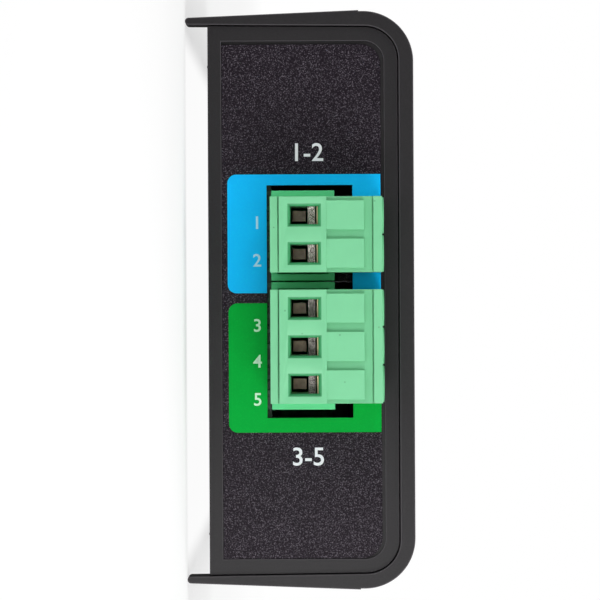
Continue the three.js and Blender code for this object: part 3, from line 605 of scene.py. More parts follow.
class Pattern(Tree):
    """A geometry node tree with named inputs, built up one node at a time."""

    def __init__(self, name, *inputs):
        super().__init__(bpy.data.node_groups.new(name, "GeometryNodeTree"))
        self.sockets = {}
        for label in inputs:
            kind = "NodeSocketInt" if label in ("Poles", "Legs") else "NodeSocketFloat"
            socket = self.tree.interface.new_socket(label, in_out="INPUT", socket_type=kind)
            self.sockets[label] = socket.identifier
        self.tree.interface.new_socket("Geometry", in_out="OUTPUT", socket_type="NodeSocketGeometry")
        self.given = list(self.node("GroupInput", output=None, family="Node"))[:len(inputs)]

    def shape(self, kind, *inputs, **named):
        return self.node(kind, *inputs, family="GeometryNode", **named)

    def vector(self, x=0.0, y=0.0, z=0.0):
        return self.node("CombineXYZ", x, y, z)

    def scaled(self, vector, factor):
        return self.node("VectorMath", vector, Scale=factor, operation="SCALE")

    def moved(self, shape, place, turn=(0, 0, 0)):
        return self.shape("Transform", shape, Translation=place, Rotation=turn)

    def together(self, *shapes):
        join = self.tree.nodes.new("GeometryNodeJoinGeometry")
        for shape in reversed(shapes):
            self.feed(join.inputs[0], shape)
        return join.outputs[0]

    def box(self, *sides):
        return self.shape("MeshCube", self.vector(*sides))

    def rod(self, radius, height, sides):
        return self.shape("MeshCylinder", Vertices=sides, Side_Segments=1, Fill_Segments=1,
                          Radius=radius, Depth=height, fill_type="NGON")

    def without(self, shape, tool):
        return self.shape("MeshBoolean", shape, tool, operation="DIFFERENCE", solver="EXACT")

    def helix(self, turns, radius, height, steps):
        return self.shape("CurveSpiral", Resolution=steps, Rotations=turns, Start_Radius=radius,
                          End_Radius=radius, Height=height)

    def oblong(self, width, height):
        return self.shape("CurvePrimitiveQuadrilateral", Width=width, Height=height)

    def disc(self, radius, sides):
        return self.shape("CurvePrimitiveCircle", Resolution=sides, Radius=radius)

    def swept(self, path, outline):
        """A solid bar with this outline that follows a path."""
        return self.shape("CurveToMesh", Curve=path, Profile_Curve=outline, Fill_Caps=True)

    def bent(self, bends, outline):
        """Straight bars from each bend to the next."""
        paths = [self.shape("CurvePrimitiveLine", Start=start, End=end)
                 for start, end in zip(bends, bends[1:])]
        return self.together(*(self.swept(path, outline) for path in paths))

    def row(self, shape, count, x=0.0, y=0.0):
        """Copies of a shape in a straight row that is centred on the origin."""
        step = self.vector(x, y)
        line = self.shape("MeshLine", Count=count, Offset=step)
        points = self.moved(line, self.scaled(step, self.times(self.minus(count, 1.0), -0.5)))
        return self.shape("InstanceOnPoints", Points=points, Instance=shape)

    def real(self, shape):
        return self.shape("RealizeInstances", shape)

    def end(self, shape, finish):
        painted = self.shape("SetMaterial", self.real(shape), Material=material(finish))
        self.node("GroupOutput", painted, output=None, family="Node")
        return self

    def mesh(self, values):
        """The plain mesh that the tree makes for these inputs, in millimetres."""
        holder = added("holder", bpy.data.meshes.new("holder"))
        modifier = holder.modifiers.new("tree", "NODES")
        modifier.node_group = self.tree
        for label, socket in self.sockets.items():
            modifier[socket] = values[label]
        made = evaluated(holder)
        holder.modifiers.clear()
        bpy.data.meshes.remove(holder.data)
        return made


# Places of the connectors. A connector's own frame has its origin on the plugs' shoulder plane at the
# board's top face, with the wires leaving along -Y, and the output end is turned half a turn.

def connector_place(node):
    low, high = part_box(node)
    x = (low.x + high.x) / 2 / MM
    if node.startswith("output"):
        return at((x, SHOULDER, BOARD_TOP)) @ Matrix.Rotation(math.pi, 4, "Z")
    return at((x, -SHOULDER, BOARD_TOP))


def pole_places(poles):
    return [(pole - (poles - 1) / 2) * POLE_PITCH for pole in range(poles)]


# Case

SEAM = 0.14
INNER_CENTRES, INNER_RADIUS = both_sides(32.4, 24.2), 4.6
OUTER_CORNERS = rounds("y", both_sides(32.19, 24.0), 6.8)
INNER_CORNERS = rounds("y", INNER_CENTRES, INNER_RADIUS)
TIPS = rounds("y", both_sides(37.725, 0.475), 0.475)
FRONT_CENTRES = corners(27.7, 42.5)
FRONT_RECESS = rounds("z", FRONT_CENTRES, 3.0)
LAMPS = [((lamp - 2.5) * 8.0, 22.0) for lamp in range(6)]
LAMP_BORES = rounds("z", LAMPS, 1.65)
PARTING_HEIGHT = 23.4
BOSS_ENDS = (-50.5, 50.5)

BASE_OUTLINE = rounds("y", INNER_CENTRES, INNER_RADIUS - SEAM)
LABEL_HOLLOW = rounds("y", both_sides(32.25, 24.05), 2.75)
SCREW_WELLS = rounds("z", corners(31.32 - SEAM, 30.0), 2.95)


def cover():
    """The cover, with its end strips cut free of the bosses first so that their arcs can be rounded."""
    solid = solid_of("top_cover")
    for y in BOSS_ENDS:
        bmesh.ops.bisect_plane(solid, geom=[*solid.verts, *solid.edges, *solid.faces], plane_co=(0, y, 0),
                               plane_no=(0, 1, 0))
    round_arcs(solid, [*OUTER_CORNERS, *TIPS, *INNER_CORNERS, *FRONT_RECESS, *LAMP_BORES])

    def parting(middle, edge):
        return abs(middle.z - PARTING_HEIGHT) < 0.05 and abs(edge.verts[0].co.y - edge.verts[1].co.y) > 1

    ease_edges(solid, size("cover_edge"), parting)
    finished("top_cover_shell", solid, "case_plastic", ["top_cover"])


class SPLITTER_OT_case(bpy.types.Operator):
    """Dress the U-shaped cover and the base with its end walls"""
    bl_idname = "splitter.case"
    bl_label = "Cover and Base"

    def execute(self, context):
        cover()
        dressed("base_tray", "base_tray_moulding", size("base_edge"), "case_plastic",
                [*BASE_OUTLINE, *LABEL_HOLLOW, *SCREW_WELLS])
        return {"FINISHED"}


# Labels

# Which way the numbers on a label are read, and which way their tops point.
INPUT_READING = ((0, 0, 1), (-1, 0, 0))
OUTPUT_READING = ((-1, 0, 0), (0, 0, 1))
FRONT_READING = ((1, 0, 0), (0, 1, 0))

# The windows in the end walls, from one side to the other, and from the base up.
WINDOWS = {-1: (-15.54, 15.94), 1: (-32.42, 32.42)}
WINDOW_HEIGHTS = (10.9, 22.5)
BLOCK_CORNER = 1.2
LABEL_CORNER = 2.75
FRONT_LABEL_CORNER = 2.7
BAND_REACH, BAND_CORNER = 26.0, 1.0
LAMP_RING = (1.95, 2.3)
LAMP_MARK_DROP = 4.6

# Size of the typeface for digits of height 1, and how far its strokes are thickened.
TYPE_SIZE = 1.38
BOLDER = 0.03


def label_sheet(node, outlines):
    dressed(node, f"{node}_sheet", size("label_edge"), "label_film", outlines)


def printed(name, solid, finish):
    finished(name, solid, finish)


def printed_block(name, end, xs, zs, finish):
    """A printed block on an end label, with rounded corners on its rear side and the window cut out."""
    low, high = sorted((end * (END_FACE - PRINT_ROOT), end * (END_FACE + size("print_height"))))
    (left, right), (bottom, top) = xs, zs
    outline = [
        *arc((right - BLOCK_CORNER, bottom + BLOCK_CORNER), BLOCK_CORNER, -1, 0),
        (right, top),
        (left, top),
        *arc((left + BLOCK_CORNER, bottom + BLOCK_CORNER), BLOCK_CORNER, 2, 3),
    ]
    (start, stop), (sill, head) = WINDOWS[end], WINDOW_HEIGHTS
    window = block((start, low - 1, sill), (stop, high + 1, head))
    printed(name, combined(prism(outline, low, high, "y"), [window]), finish)


def mark(name, text, height, place, finish, reading):
    """Printed numbers of this height, centred on their place."""
    letters = bpy.data.curves.new(name, "FONT")
    letters.body = text
    letters.size = height * TYPE_SIZE
    letters.align_x = letters.align_y = "CENTER"
    letters.extrude = MARK_DEPTH
    letters.offset = BOLDER
    letters.resolution_u = 4
    holder = added(name, letters)
    mesh = evaluated(holder)
    bpy.data.objects.remove(holder)
    along, up = (Vector(way) for way in reading)
    turn = Matrix((along, up, along.cross(up))).transposed().to_4x4()
    mesh.transform(at(place) @ turn)
    printed(name, mesh, finish)


def input_label():
    label_sheet("input_label", rounds("y", [(32.2, 23.6), (-31.8, 23.6)], LABEL_CORNER))
    printed_block("power_block", -1, (-17.0, -0.95), (5.6, 26.3), "power_ink")
    printed_block("data_block", -1, (0.41, 17.89), (5.7, 26.3), "data_ink")
    film = -END_FACE - MARK_DEPTH
    ink = film - size("print_height")
    for name, text, x in (("power_heading", "1-2", -19.85), ("data_heading", "3-5", 21.3)):
        mark(name, text, size("heading_marks"), (x, film, 16.4), "white_ink", INPUT_READING)
    for group, first, places in (("power", 1, (-10.4, -5.3)), ("data", 3, (3.5, 8.35, 13.5))):
        for number, x in enumerate(places, first):
            mark(f"{group}_mark_{number}", str(number), size("pole_marks"), (x, ink, 9.6),
                 f"{group}_mark_ink", INPUT_READING)


def output_label():
    label_sheet("output_label", rounds("y", [(31.8, 23.6), (-32.2, 23.6)], LABEL_CORNER))
    printed_block("output_block", 1, (-34.2, 34.2), (5.6, 26.3), "data_ink")
    ink = END_FACE + MARK_DEPTH + size("print_height")
    for number in range(1, 5):
        x = (number - 2.5) * PLUG_PITCH
        mark(f"output_mark_{number}", str(number), size("heading_marks"), (x, ink, 24.45), "data_mark_ink",
             OUTPUT_READING)
        for pole, place in enumerate(pole_places(3), 1):
            mark(f"output_{number}_pole_mark_{pole}", str(pole), size("pole_marks"), (x - place, ink, 8.9),
                 "data_mark_ink", OUTPUT_READING)


def front_label():
    label_sheet("front_label", [*rounds("z", FRONT_CENTRES, FRONT_LABEL_CORNER), *LAMP_BORES])
    root, top = FRONT_FACE - PRINT_ROOT, FRONT_FACE + size("print_height")
    for name, finish, y in (("front_power_band", "power_ink", -38.0), ("front_data_band", "data_ink", 38.0)):
        turns = enumerate(((1, 1), (-1, 1), (-1, -1), (1, -1)))
        outline = [point for n, (a, b) in turns
                   for point in arc((a * BAND_REACH, y + b * BAND_CORNER), BAND_CORNER, n, n + 1)]
        printed(name, prism(outline, root, top), finish)
    for number, (x, y) in enumerate(LAMPS, 1):
        inner, outer = (circle((x, y), radius) for radius in LAMP_RING)
        hole = prism(inner, FRONT_FACE - 1, FRONT_FACE + 1)
        printed(f"lamp_ring_{number}", combined(prism(outer, root, top), [hole]), "white_ink")
        place = (x, y - LAMP_MARK_DROP, FRONT_FACE + MARK_DEPTH)
        mark(f"lamp_mark_{number}", str(number), size("pole_marks"), place, "white_ink", FRONT_READING)


class SPLITTER_OT_labels(bpy.types.Operator):
    """Print the labels at both ends and on the front"""
    bl_idname = "splitter.labels"
    bl_label = "Labels"

    def execute(self, context):
        input_label()
        output_label()
        front_label()
        return {"FINISHED"}


# Plugs, with a current bar and a contact for each pole

BAR = {"Width": 2.6, "Length": 4.29, "Thickness": 1.0}
BAR_PLACE = (0, -5.15, 5.45)
CONTACT = {"Width": 1.4, "Length": 9.6, "Height": 1.75, "Sheet": 0.2}
CONTACT_PLACE = (0, 1.9, 3.82)


def plug_mesh(name):
    """A plug in its own frame, without the current bars that its CAD solid holds."""
    node = f"{name}_plug"
    poles = pole_places(PLUG_POLES[name])
    bars = [block((x - 1.4, -7.38, 4.9), (x + 1.4, -3.0, 6.0)) for x in poles]
    solid = combined(solid_of(node, connector_place(node)), bars)
    round_arcs(solid, rounds("z", [(x, SCREW_PLACE) for x in poles], 2.1, 2.43))

    def off_pole(place):
        return min(abs(place.x - x) for x in poles)

    def narrow(middle, edge):
        """Whether an edge has no room beside it."""
        beside_collar = abs(middle.y + 9.65) < 0.02 and middle.z > 15.0
        in_groove = -9.4 < middle.y < -8.9 and (middle.z < 1.2 or middle.z > 13.6)
        inside = middle.y > -7.45 and 1.5 < middle.z < 14.7
        in_mouth = off_pole(middle) < 1.7 and 2.1 < middle.z < 7.0 and middle.y < -7.3
        return beside_collar or in_groove or inside or in_mouth

    def hollow(face):
        """How much painted shade a face gets: the wire funnels most, then the steps beside the pads."""
        middle = face.calc_center_median()
        in_funnel = off_pole(middle) < 2.0 and 1.6 < middle.z < 7.4 and middle.y < -8.0
        if in_funnel and face.normal.y > -0.95:
            return 1.0
        if not 7.4 < middle.z < 13.6:
            return 0.0
        if abs(middle.y + 9.35) < 0.02:
            return 0.18
        return 0.8 if -9.8 < middle.y < -9.4 else 0.0

    ease_edges(solid, size("plug_edge"), narrow)
    # The funnels and the steps beside the pads are marked for painted shade.
    mark_faces(solid, "hollow", hollow)
    return mesh_of(solid, node)


def bar_pattern():
    """A row of knurled current bars, each a fine box whose grain stands off its faces."""
    tree = Pattern("current_bars", "Poles", "Pitch", "Width", "Length", "Thickness", "Grain")
    poles, pitch, *sides, grain = tree.given
    cube = tree.shape("MeshCube", tree.vector(*sides), Vertices_X=19, Vertices_Y=14, Vertices_Z=9)
    cells = tree.scaled(tree.shape("InputPosition"), 100.0)
    grains = tree.node("TexWhiteNoise", cells, W=7.0, noise_dimensions="4D")
    rise = tree.times(tree.minus(grains, 1.0), grain)
    bar = tree.shape("SetPosition", cube, Offset=tree.scaled(tree.shape("InputNormal"), rise))
    return tree.end(tree.row(bar, poles, pitch), "bar_plating")


def contact_pattern():
    """A row of folded sheet-metal sockets that grip the header pins."""
    tree = Pattern("pin_contacts", "Poles", "Pitch", "Width", "Length", "Height", "Sheet")
    poles, pitch, width, long, height, sheet = tree.given
    walls = tree.times(sheet, 2.0)
    inner = tree.box(tree.minus(width, walls), long, tree.minus(height, walls))
    tube = tree.without(tree.box(width, long, height), tree.moved(inner, tree.vector(0.0, sheet)))
    return tree.end(tree.row(tube, poles, pitch), "contact_plating")


class SPLITTER_OT_plugs(bpy.types.Operator):
    """Build the six plugs with their current bars and pin contacts"""
    bl_idname = "splitter.plugs"
    bl_label = "Plugs"

    def execute(self, context):
        bars, contacts = bar_pattern(), contact_pattern()
        mouldings = {2: plug_mesh("power"), 3: plug_mesh("input")}
        for name, poles in PLUG_POLES.items():
            plug = f"{name}_plug"
            place = connector_place(plug)
            finished(f"{plug}_moulding", mouldings[poles].copy(), "plug_plastic", [plug], plug,
                     place)
            row = {"Poles": poles, "Pitch": POLE_PITCH}
            # The input plug's bars take the copy of the plating with painted shade.
            plating = "tarnished_bar_plating" if name == "input" else "bar_plating"
            mesh = bars.mesh({**row, **BAR, "Grain": size("knurl_depth")})
            finished(f"{name}_current_bars", mesh, plating, body=plug,
                     place=place @ at(BAR_PLACE))
            mesh = contacts.mesh({**row, **CONTACT})
            finished(f"{name}_pin_contacts", mesh, "contact_plating", body=plug,
                     place=place @ at(CONTACT_PLACE))
        return {"FINISHED"}


# Headers with their pins

HEADER_EDGE = 0.12
PIN = {"Side": 1.0, "Reach": 8.3, "Drop": 7.35}
PIN_PLACE = (0, 2.2, 3.85)


def header_solid(node, poles):
    """A header in its own frame, without the pins that its CAD solid holds."""
    pins = []
    for x in pole_places(poles):
        pins.append(block((x - 0.6, 2.0, 3.2), (x + 0.6, 8.6, 4.5)))
        pins.append(block((x - 0.6, 9.0, -4.0), (x + 0.6, 12.0, 0.0)))
    solid = combined(solid_of(node, connector_place(node)), pins)
    ease_edges(solid, HEADER_EDGE)
    return solid


def pin_pattern():
    """A row of square pins, each bent once from the socket down through the board."""
    tree = Pattern("header_pins", "Poles", "Pitch", "Side", "Reach", "Drop")
    poles, pitch, side, reach, drop = tree.given
    knee, tail = tree.vector(0.0, reach), tree.vector(0.0, reach, tree.times(drop, -1.0))
    pin = tree.bent([(0, 0, 0), knee, tail], tree.oblong(side, side))
    return tree.end(tree.row(pin, poles, pitch), "pin_plating")


class SPLITTER_OT_headers(bpy.types.Operator):
    """Build the three board headers and their bent pins"""
    bl_idname = "splitter.headers"
    bl_label = "Headers"

    def execute(self, context):
        pins = pin_pattern()
        for name, poles in HEADER_POLES.items():
            header = f"{name}_header"
            place = connector_place(header)
            solid = header_solid(header, poles)
            finished(f"{header}_moulding", solid, "header_plastic", [header], place=place)
            row = pins.mesh({"Poles": poles, "Pitch": POLE_PITCH, **PIN})
            place = place @ at(PIN_PLACE)
            finished(f"{name}_pins", row, "pin_plating", place=place)
        return {"FINISHED"}


# Clamp screws and cages

SCREW = {
    "Head Radius": 1.93, "Head Height": 1.8, "Shank Radius": 1.44, "Shank Length": 6.35,
    "Thread Depth": 0.16, "Slot Width": 0.6, "Slot Depth": 0.8,
}
SCREW_HEAD = (0, SCREW_PLACE, 13.35)


def screw_pattern():
    """A slotted clamp screw: a head on a shank with a helical thread."""
    tree = Pattern("clamp_screw", "Head Radius", "Head Height", "Shank Radius", "Shank Length",
                   "Thread Pitch", "Thread Depth", "Slot Width", "Slot Depth")
    head_radius, head_height, shank_radius, shank_length, pitch, ridge, slot_width, slot_depth = tree.given
    slot = tree.box(tree.times(head_radius, 4.0), slot_width, tree.times(slot_depth, 2.0))
    top = tree.vector(0.0, 0.0, tree.times(head_height, 0.5))
    core = tree.minus(shank_radius, ridge)
    turns = tree.minus(tree.number("DIVIDE", shank_length, pitch), 1.0)
    height = tree.times(turns, pitch)
    thread = tree.swept(tree.helix(turns, core, height, 28), tree.disc(ridge, 3))
    drop = tree.times(tree.number("ADD", head_height, shank_length), -0.5)
    lift = tree.minus(drop, tree.times(height, 0.5))
    return tree.end(tree.together(
        tree.without(tree.rod(head_radius, head_height, 48), tree.moved(slot, top)),
        tree.moved(tree.rod(core, shank_length, 32), tree.vector(0.0, 0.0, drop)),
        tree.moved(thread, tree.vector(0.0, 0.0, lift)),
    ), "screw_plating")


def cage_mesh():
    """A clamp cage in the frame of its own pole."""
    pole = at((pole_places(PLUG_POLES["power"])[0], 0, 0))
    solid = solid_of("power_clamp_1", connector_place("power_plug") @ pole)
    round_arcs(solid, rounds("z", [(0, SCREW_PLACE)], 1.6))
    ease_edges(solid, size("small_edge"))
    return mesh_of(solid, "cage")


class SPLITTER_OT_terminals(bpy.types.Operator):
    """Build a slotted screw and a rising cage for every pole"""
    bl_idname = "splitter.terminals"
    bl_label = "Clamp Screws and Cages"

    def execute(self, context):
        screw = screw_pattern().mesh({**SCREW, "Thread Pitch": size("thread_pitch")})
        screw.transform(at(SCREW_HEAD))
        cage = cage_mesh()
        for name, poles in PLUG_POLES.items():
            for pole, x in enumerate(pole_places(poles), 1):
                place = connector_place(f"{name}_plug") @ at((x, 0, 0))
                node = f"{name}_screw_{pole}"
                finished(f"{node}_plated", screw.copy(), "screw_plating", [node], node, place)
                node = f"{name}_clamp_{pole}"
                finished(f"{name}_cage_{pole}", cage.copy(), "clamp_plating", [node], node,
                         place)
        return {"FINISHED"}


# Rail latch and its spring

LATCH_EDGE = 0.15
SPRING = {"Turns": 10.0, "Radius": 1.2, "Wire": 0.4}


def spring_pattern():
    """A coil spring that stands on the origin along Z."""
    tree = Pattern("latch_spring_coil", "Turns", "Radius", "Wire", "Length")
    turns, radius, wire, long = tree.given
    outline = tree.disc(tree.times(wire, 0.5), 12)
    return tree.end(tree.swept(tree.helix(turns, radius, long, 36), outline), "spring_wire")


class SPLITTER_OT_latch(bpy.types.Operator):
    """Dress the rail latch and wind its spring"""
    bl_idname = "splitter.latch"
    bl_label = "Rail Latch"

    def execute(self, context):
        dressed("din_latch", "rail_latch", LATCH_EDGE, "latch_plastic", body="latch")
        low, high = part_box("latch_spring")
        wire = SPRING["Wire"]
        coil = spring_pattern().mesh({**SPRING, "Length": (high.y - low.y) / MM - wire})
        middle = (low + high) / 2 / MM
        start = at((middle.x, low.y / MM + wire / 2, middle.z))
        spring = finished("latch_spring_wire", coil, "spring_wire", ["latch_spring"],
                          place=start @ Matrix.Rotation(-math.pi / 2, 4, "X"))
        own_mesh(spring)
        return {"FINISHED"}


# Circuit board, what it carries, the light guide and the case screws

BOARD_EDGE = 0.1
GUIDE_EDGE = 0.1
CHIP_EDGE = 0.12
CASE_SCREW_EDGE = 0.15

# The room over the board that its CAD solid fills with chips and lamps.
CROWDED = ((-36, -50, BOARD_TOP), (36, 50, 16))

# A package's draw, and its dimple's inset, radius and depth.
CHIP_DRAW = 0.15
DIMPLE = (1.1, 0.45, 0.12)

DRIVER_ROW = 31.0
DRIVER_HALF = (2.9, 5.15)
DRIVER_HEIGHTS = (0.12, 2.4)
DRIVER_LEGS = {"Legs": 8, "Pitch": 1.27, "Leg Height": 1.1, "Leg Width": 0.42}
CHIP_LEGS = {
    "controller_chip": {"Legs": 10, "Pitch": 0.9, "Leg Height": 0.8, "Leg Width": 0.35},
    "input_isolator": {"Legs": 8, "Pitch": 1.27, "Leg Height": 0.8, "Leg Width": 0.35},
}
LEG_ROOM = Vector((0.9, 0, 0))
STANDOFF = Vector((0, 0, 0.1))

# The capacitor's outline from the board up, as the steps inward from its radius and the heights.
CAN_RADIUS = 3.95
CAN_OUTLINE = (
    (0.03 * CAN_RADIUS, 0.0), (0, 0.2), (0, 1.6), (0.35, 2.0), (0, 2.4), (0, 10.9), (0.15, 11.3),
    (0.5, 11.45), (0.9, 11.35), (1.1, 11.25),
)
SCORES = ((2.6, 0.1), (0.1, 2.6))
SCORE_DEPTH = 0.4


def leg_pattern():
    """Two rows of bent legs along the sides of a chip."""
    tree = Pattern("chip_legs", "Legs", "Pitch", "Body Width", "Leg Height", "Leg Width")
    legs, pitch, body_width, high, leg_width = tree.given
    low = 0.1
    half = tree.times(body_width, 0.5)
    inner, knee, toe = (tree.number("ADD", half, reach) for reach in (-0.3, 0.5, 1.1))
    bends = [tree.vector(x, 0.0, z) for x, z in ((inner, high), (knee, high), (knee, low), (toe, low))]
    side = tree.real(tree.row(tree.bent(bends, tree.oblong(leg_width, 0.2)), legs, y=pitch))
    return tree.end(tree.together(side, tree.moved(side, (0, 0, 0), (0, 0, math.pi))), "pin_plating")


def package(name, low, high, replaces=()):
    """A moulded package with drawn-in sides and a dimple at its first leg."""
    solid = block(low, high)
    middle = (low + high) / 2
    for corner in solid.verts:
        if corner.co.z > middle.z:
            for n in (0, 1):
                corner.co[n] += math.copysign(CHIP_DRAW, middle[n] - corner.co[n])
    inset, radius, depth = DIMPLE
    dimple = prism(circle((low.x + inset, low.y + inset), radius, 20), high.z - depth, high.z + 1)
    solid = combined(solid, [dimple])
    ease_edges(solid, CHIP_EDGE)
    finished(name, solid, "moulded_epoxy", replaces)


def chip(pattern, names, low, high, legs, replaces=()):
    """A package and its legs, which reach out from both of its sides."""
    name, legs_name = names
    package(name, low, high, replaces)
    middle = (low + high) / 2
    row = pattern.mesh({**legs, "Body Width": high.x - low.x})
    place = at((middle.x, middle.y, BOARD_TOP))
    finished(legs_name, row, "pin_plating", place=place)


def indicator_lamp(name, x, y):
    """A flat lamp body with a narrower lens on it."""
    def layer(half, bottom, top):
        return block((x - half, y - 0.65, BOARD_TOP + bottom), (x + half, y + 0.65, BOARD_TOP + top))

    lamp = combined(layer(1.0, 0.0, 0.4), [layer(0.6, 0.3, 0.9)], "UNION")
    ease_edges(lamp, size("small_edge"))
    finished(name, lamp, "lamp_body")


def capacitor():
    """A can with a crimped waist, a rounded shoulder and a scored top."""
    high, middle = box_of("filter_capacitor")[1:]
    x, y, top = middle.x, middle.y, high.z
    can = lofted([[(*point, BOARD_TOP + z) for point in circle((x, y), CAN_RADIUS - inward, 48)]
                  for inward, z in CAN_OUTLINE])
    scores = [block((x - a, y - b, top - SCORE_DEPTH), (x + a, y + b, top + 1)) for a, b in SCORES]
    can = combined(can, scores)
    finished("filter_capacitor_can", can, "capacitor_can", ["filter_capacitor"])


def board():
    """The bare board, without the parts that its CAD solid carries on its top face."""
    solid = combined(solid_of("circuit_board"), [block(*CROWDED)])
    ease_edges(solid, BOARD_EDGE)
    finished("circuit_board_slab", solid, "solder_mask", ["circuit_board"])


class SPLITTER_OT_board(bpy.types.Operator):
    """Build the circuit board with its chips, lamps and capacitor"""
    bl_idname = "splitter.board"
    bl_label = "Circuit Board"

    def execute(self, context):
        board()
        legs = leg_pattern()
        for number in range(1, 5):
            place = Vector(((number - 2.5) * PLUG_PITCH, DRIVER_ROW, BOARD_TOP))
            low, high = (place + Vector((side * DRIVER_HALF[0], side * DRIVER_HALF[1], height))
                         for side, height in zip((-1, 1), DRIVER_HEIGHTS))
            chip(legs, (f"line_driver_{number}", f"line_driver_legs_{number}"), low, high, DRIVER_LEGS)
        for number, place in enumerate(LAMPS, 1):
            indicator_lamp(f"indicator_lamp_{number}", *place)
        for node, row in CHIP_LEGS.items():
            low, high = box_of(node)[:2]
            low, high = low + LEG_ROOM + STANDOFF, high - LEG_ROOM
            chip(legs, (f"{node}_package", f"{node}_legs"), low, high, row, [node])
        package("isolated_converter_case", *box_of("isolated_converter")[:2], ["isolated_converter"])
        capacitor()
        return {"FINISHED"}


class SPLITTER_OT_light_guide(bpy.types.Operator):
    """Dress the clear light guide over the lamps"""
    bl_idname = "splitter.light_guide"
    bl_label = "Light Guide"

    def execute(self, context):
        dressed("light_guide", "light_guide_moulding", GUIDE_EDGE, "clear_guide",
                rounds("z", LAMPS, 1.4))
        return {"FINISHED"}


class SPLITTER_OT_case_screws(bpy.types.Operator):
    """Dress the four cross-headed case screws"""
    bl_idname = "splitter.case_screws"
    bl_label = "Case Screws"

    def execute(self, context):
        for number in range(1, 5):
            node = f"case_screw_{number}"
            middle = box_of(node)[2]
            dressed(node, f"{node}_blackened", CASE_SCREW_EDGE, "black_screw",
                    rounds("z", [(middle.x, middle.y)], 2.8, 1.5))
        return {"FINISHED"}


# Floor, lights and camera

# Place, target and size of each soft lamp, in metres, whether matt faces get its light, and whether glossy
# ones mirror it.
SOFTBOXES = {
    "left": ((-0.5, -0.5, 0.13), (0, -0.05, 0.015), 0.24, True, False),
    "right": ((0.27, -0.33, 0.12), (0, -0.05, 0.015), 0.18, True, False),
    "back": ((0.32, 0.5, 0.25), (0, 0.05, 0.015), 0.24, True, False),
    "sheen": ((0.07, -0.16, 0.012), (0.025, -0.052, 0.008), 0.04, False, True),
    "top": ((0, -0.15, 0.9), (0, 0, 0), 0.8, True, True),
}
AIM = (0, -51.9, 15.36)

# The floor's half side in metres, and the spans in which its shade fades out: past the case's long and short
# sides, and all round.
FLOOR_HALF = 4.0
FADE_ACROSS, FADE_ALONG, FADE_AWAY = (33, 39), (48, 56), (160, 700)


def seen_directly(tree):
    """1 for what the camera sees, also through clear plastic, and 0 for light that bounces."""
    path = tree.node("LightPath", output=None)
    return tree.number("MAXIMUM", path["Is Camera Ray"], path["Is Transmission Ray"])


def floor():
    """A large white floor that keeps the shadow, but fainter under the case and not far away."""
    mesh = bpy.data.meshes.new("floor")
    ring = [(a * FLOOR_HALF, b * FLOOR_HALF, 0) for a, b in ((-1, -1), (1, -1), (1, 1), (-1, 1))]
    mesh.from_pydata(ring, [], [(0, 1, 2, 3)])
    plane = added("floor", mesh)
    paper = Recipe("white_paper", specular=0.1)
    paper.set({"Base Color": (0.94, 0.94, 0.94, 1), "Roughness": 0.9})
    away = paper.node("VectorMath", paper.place, output="Value", operation="LENGTH")
    apart = paper.node("SeparateXYZ", paper.place, output=None)
    across, along = (paper.number("ABSOLUTE", apart[n]) for n in (0, 1))

    def fading(distance, span, most=1):
        return paper.ranged(distance, (span[0] * MM, span[1] * MM), (most, 0), "SMOOTHSTEP")

    under = paper.times(fading(across, FADE_ACROSS), fading(along, FADE_ALONG))
    clear = paper.minus(1.0, paper.times(under, 1 - stage().under_shadow))
    shaded = paper.times(fading(away, FADE_AWAY, stage().shadow), clear)
    white = paper.times(seen_directly(paper), paper.minus(1.0, shaded))
    glow = paper.node("Emission", Strength=1.0)
    mixed = paper.node("MixShader", white, paper.shader.outputs[0], glow)
    paper.feed(paper.tree.nodes["Material Output"].inputs["Surface"], mixed)
    mesh.materials.append(paper.material)


def surroundings():
    """A plain world: white where it is seen, and softer as light."""
    world = bpy.data.worlds.new("studio")
    bpy.context.scene.world = world
    world.use_nodes = True
    world.node_tree.nodes.clear()
    tree = Tree(world.node_tree)
    light, white = (
        tree.node("Background", Color=(1, 1, 1, 1), Strength=strength)
        for strength in (stage().world_light, 1.0)
    )
    mixed = tree.node("MixShader", seen_directly(tree), light, white)
    tree.node("OutputWorld", mixed, output=None)


def softbox(side, place, target, edge, diffuse, mirrored):
    """A square lamp that the camera doesn't see."""
    data = bpy.data.lights.new(f"{side}_softbox", "AREA")
    data.shape = "SQUARE"
    data.size = edge
    data.energy = getattr(stage(), f"{side}_light")
    obj = added(f"{side}_softbox", data)
    obj.location = place
    obj.rotation_euler = (Vector(target) - Vector(place)).to_track_quat("-Z", "Y").to_euler()
    obj.visible_camera = False
    obj.visible_diffuse = diffuse
    obj.visible_glossy = mirrored


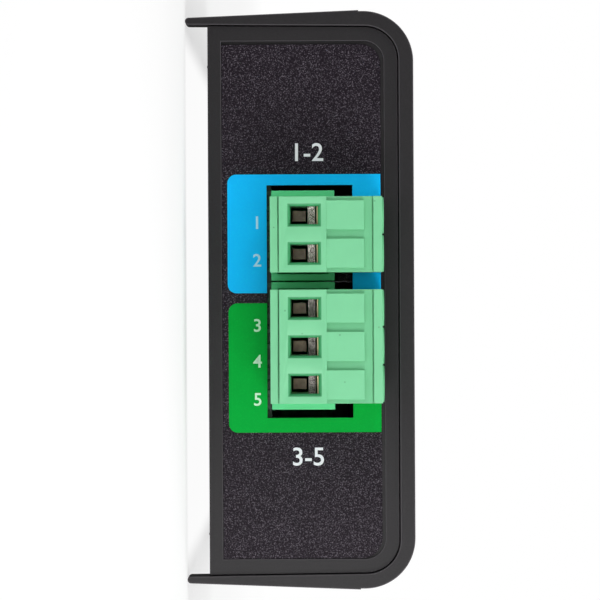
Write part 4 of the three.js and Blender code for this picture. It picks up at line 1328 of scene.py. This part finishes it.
def camera():
    data = bpy.data.cameras.new("photo_view")
    data.sensor_width = 36
    data.lens = stage().lens
    data.clip_start = 0.01
    obj = added("photo_view", data)
    aim = Vector(AIM) * MM
    place = aim + Vector((0, -stage().distance, stage().camera_rise))
    back = (place - aim).normalized()
    up = Vector((-1, 0, 0))
    turn = Matrix((up.cross(back), up, back)).transposed().to_4x4() @ Matrix.Rotation(stage().tilt, 4, "Z")
    obj.matrix_world = at(place) @ turn
    bpy.context.scene.camera = obj


class SPLITTER_OT_stage(bpy.types.Operator):
    """Set up the floor, the soft lights and the camera"""
    bl_idname = "splitter.stage"
    bl_label = "Stage"

    def execute(self, context):
        context.scene.view_settings.view_transform = "Standard"
        camera()
        floor()
        surroundings()
        for side, setting in SOFTBOXES.items():
            softbox(side, *setting)
        return {"FINISHED"}


class SPLITTER_PT_pieces(bpy.types.Panel):
    bl_label = "Data Splitter"
    bl_space_type = "VIEW_3D"
    bl_region_type = "UI"
    bl_category = "Splitter"

    def draw(self, context):
        for operator in OPERATORS:
            self.layout.operator(operator.bl_idname)
        for group in GROUPS:
            values = getattr(context.scene, group)
            column = self.layout.column()
            for name in values.__annotations__:
                column.prop(values, name)


OPERATORS = (
    SPLITTER_OT_stage, SPLITTER_OT_case, SPLITTER_OT_labels, SPLITTER_OT_headers, SPLITTER_OT_plugs,
    SPLITTER_OT_terminals, SPLITTER_OT_latch, SPLITTER_OT_board, SPLITTER_OT_light_guide,
    SPLITTER_OT_case_screws,
)
GROUPS = {
    "splitter_sizes": SplitterSizes, "splitter_finishes": SplitterFinishes, "splitter_stage": SplitterStage,
}


def register():
    for item in (*GROUPS.values(), *OPERATORS, SPLITTER_PT_pieces):
        bpy.utils.register_class(item)
    for name, group in GROUPS.items():
        setattr(bpy.types.Scene, name, PointerProperty(type=group))


def unregister():
    for name in GROUPS:
        delattr(bpy.types.Scene, name)
    for item in (SPLITTER_PT_pieces, *reversed(OPERATORS), *GROUPS.values()):
        bpy.utils.unregister_class(item)


def main():
    register()
    for operator in OPERATORS:
        family, name = operator.bl_idname.split(".")
        getattr(getattr(bpy.ops, family), name)()


if __name__ == "__main__":
    main()
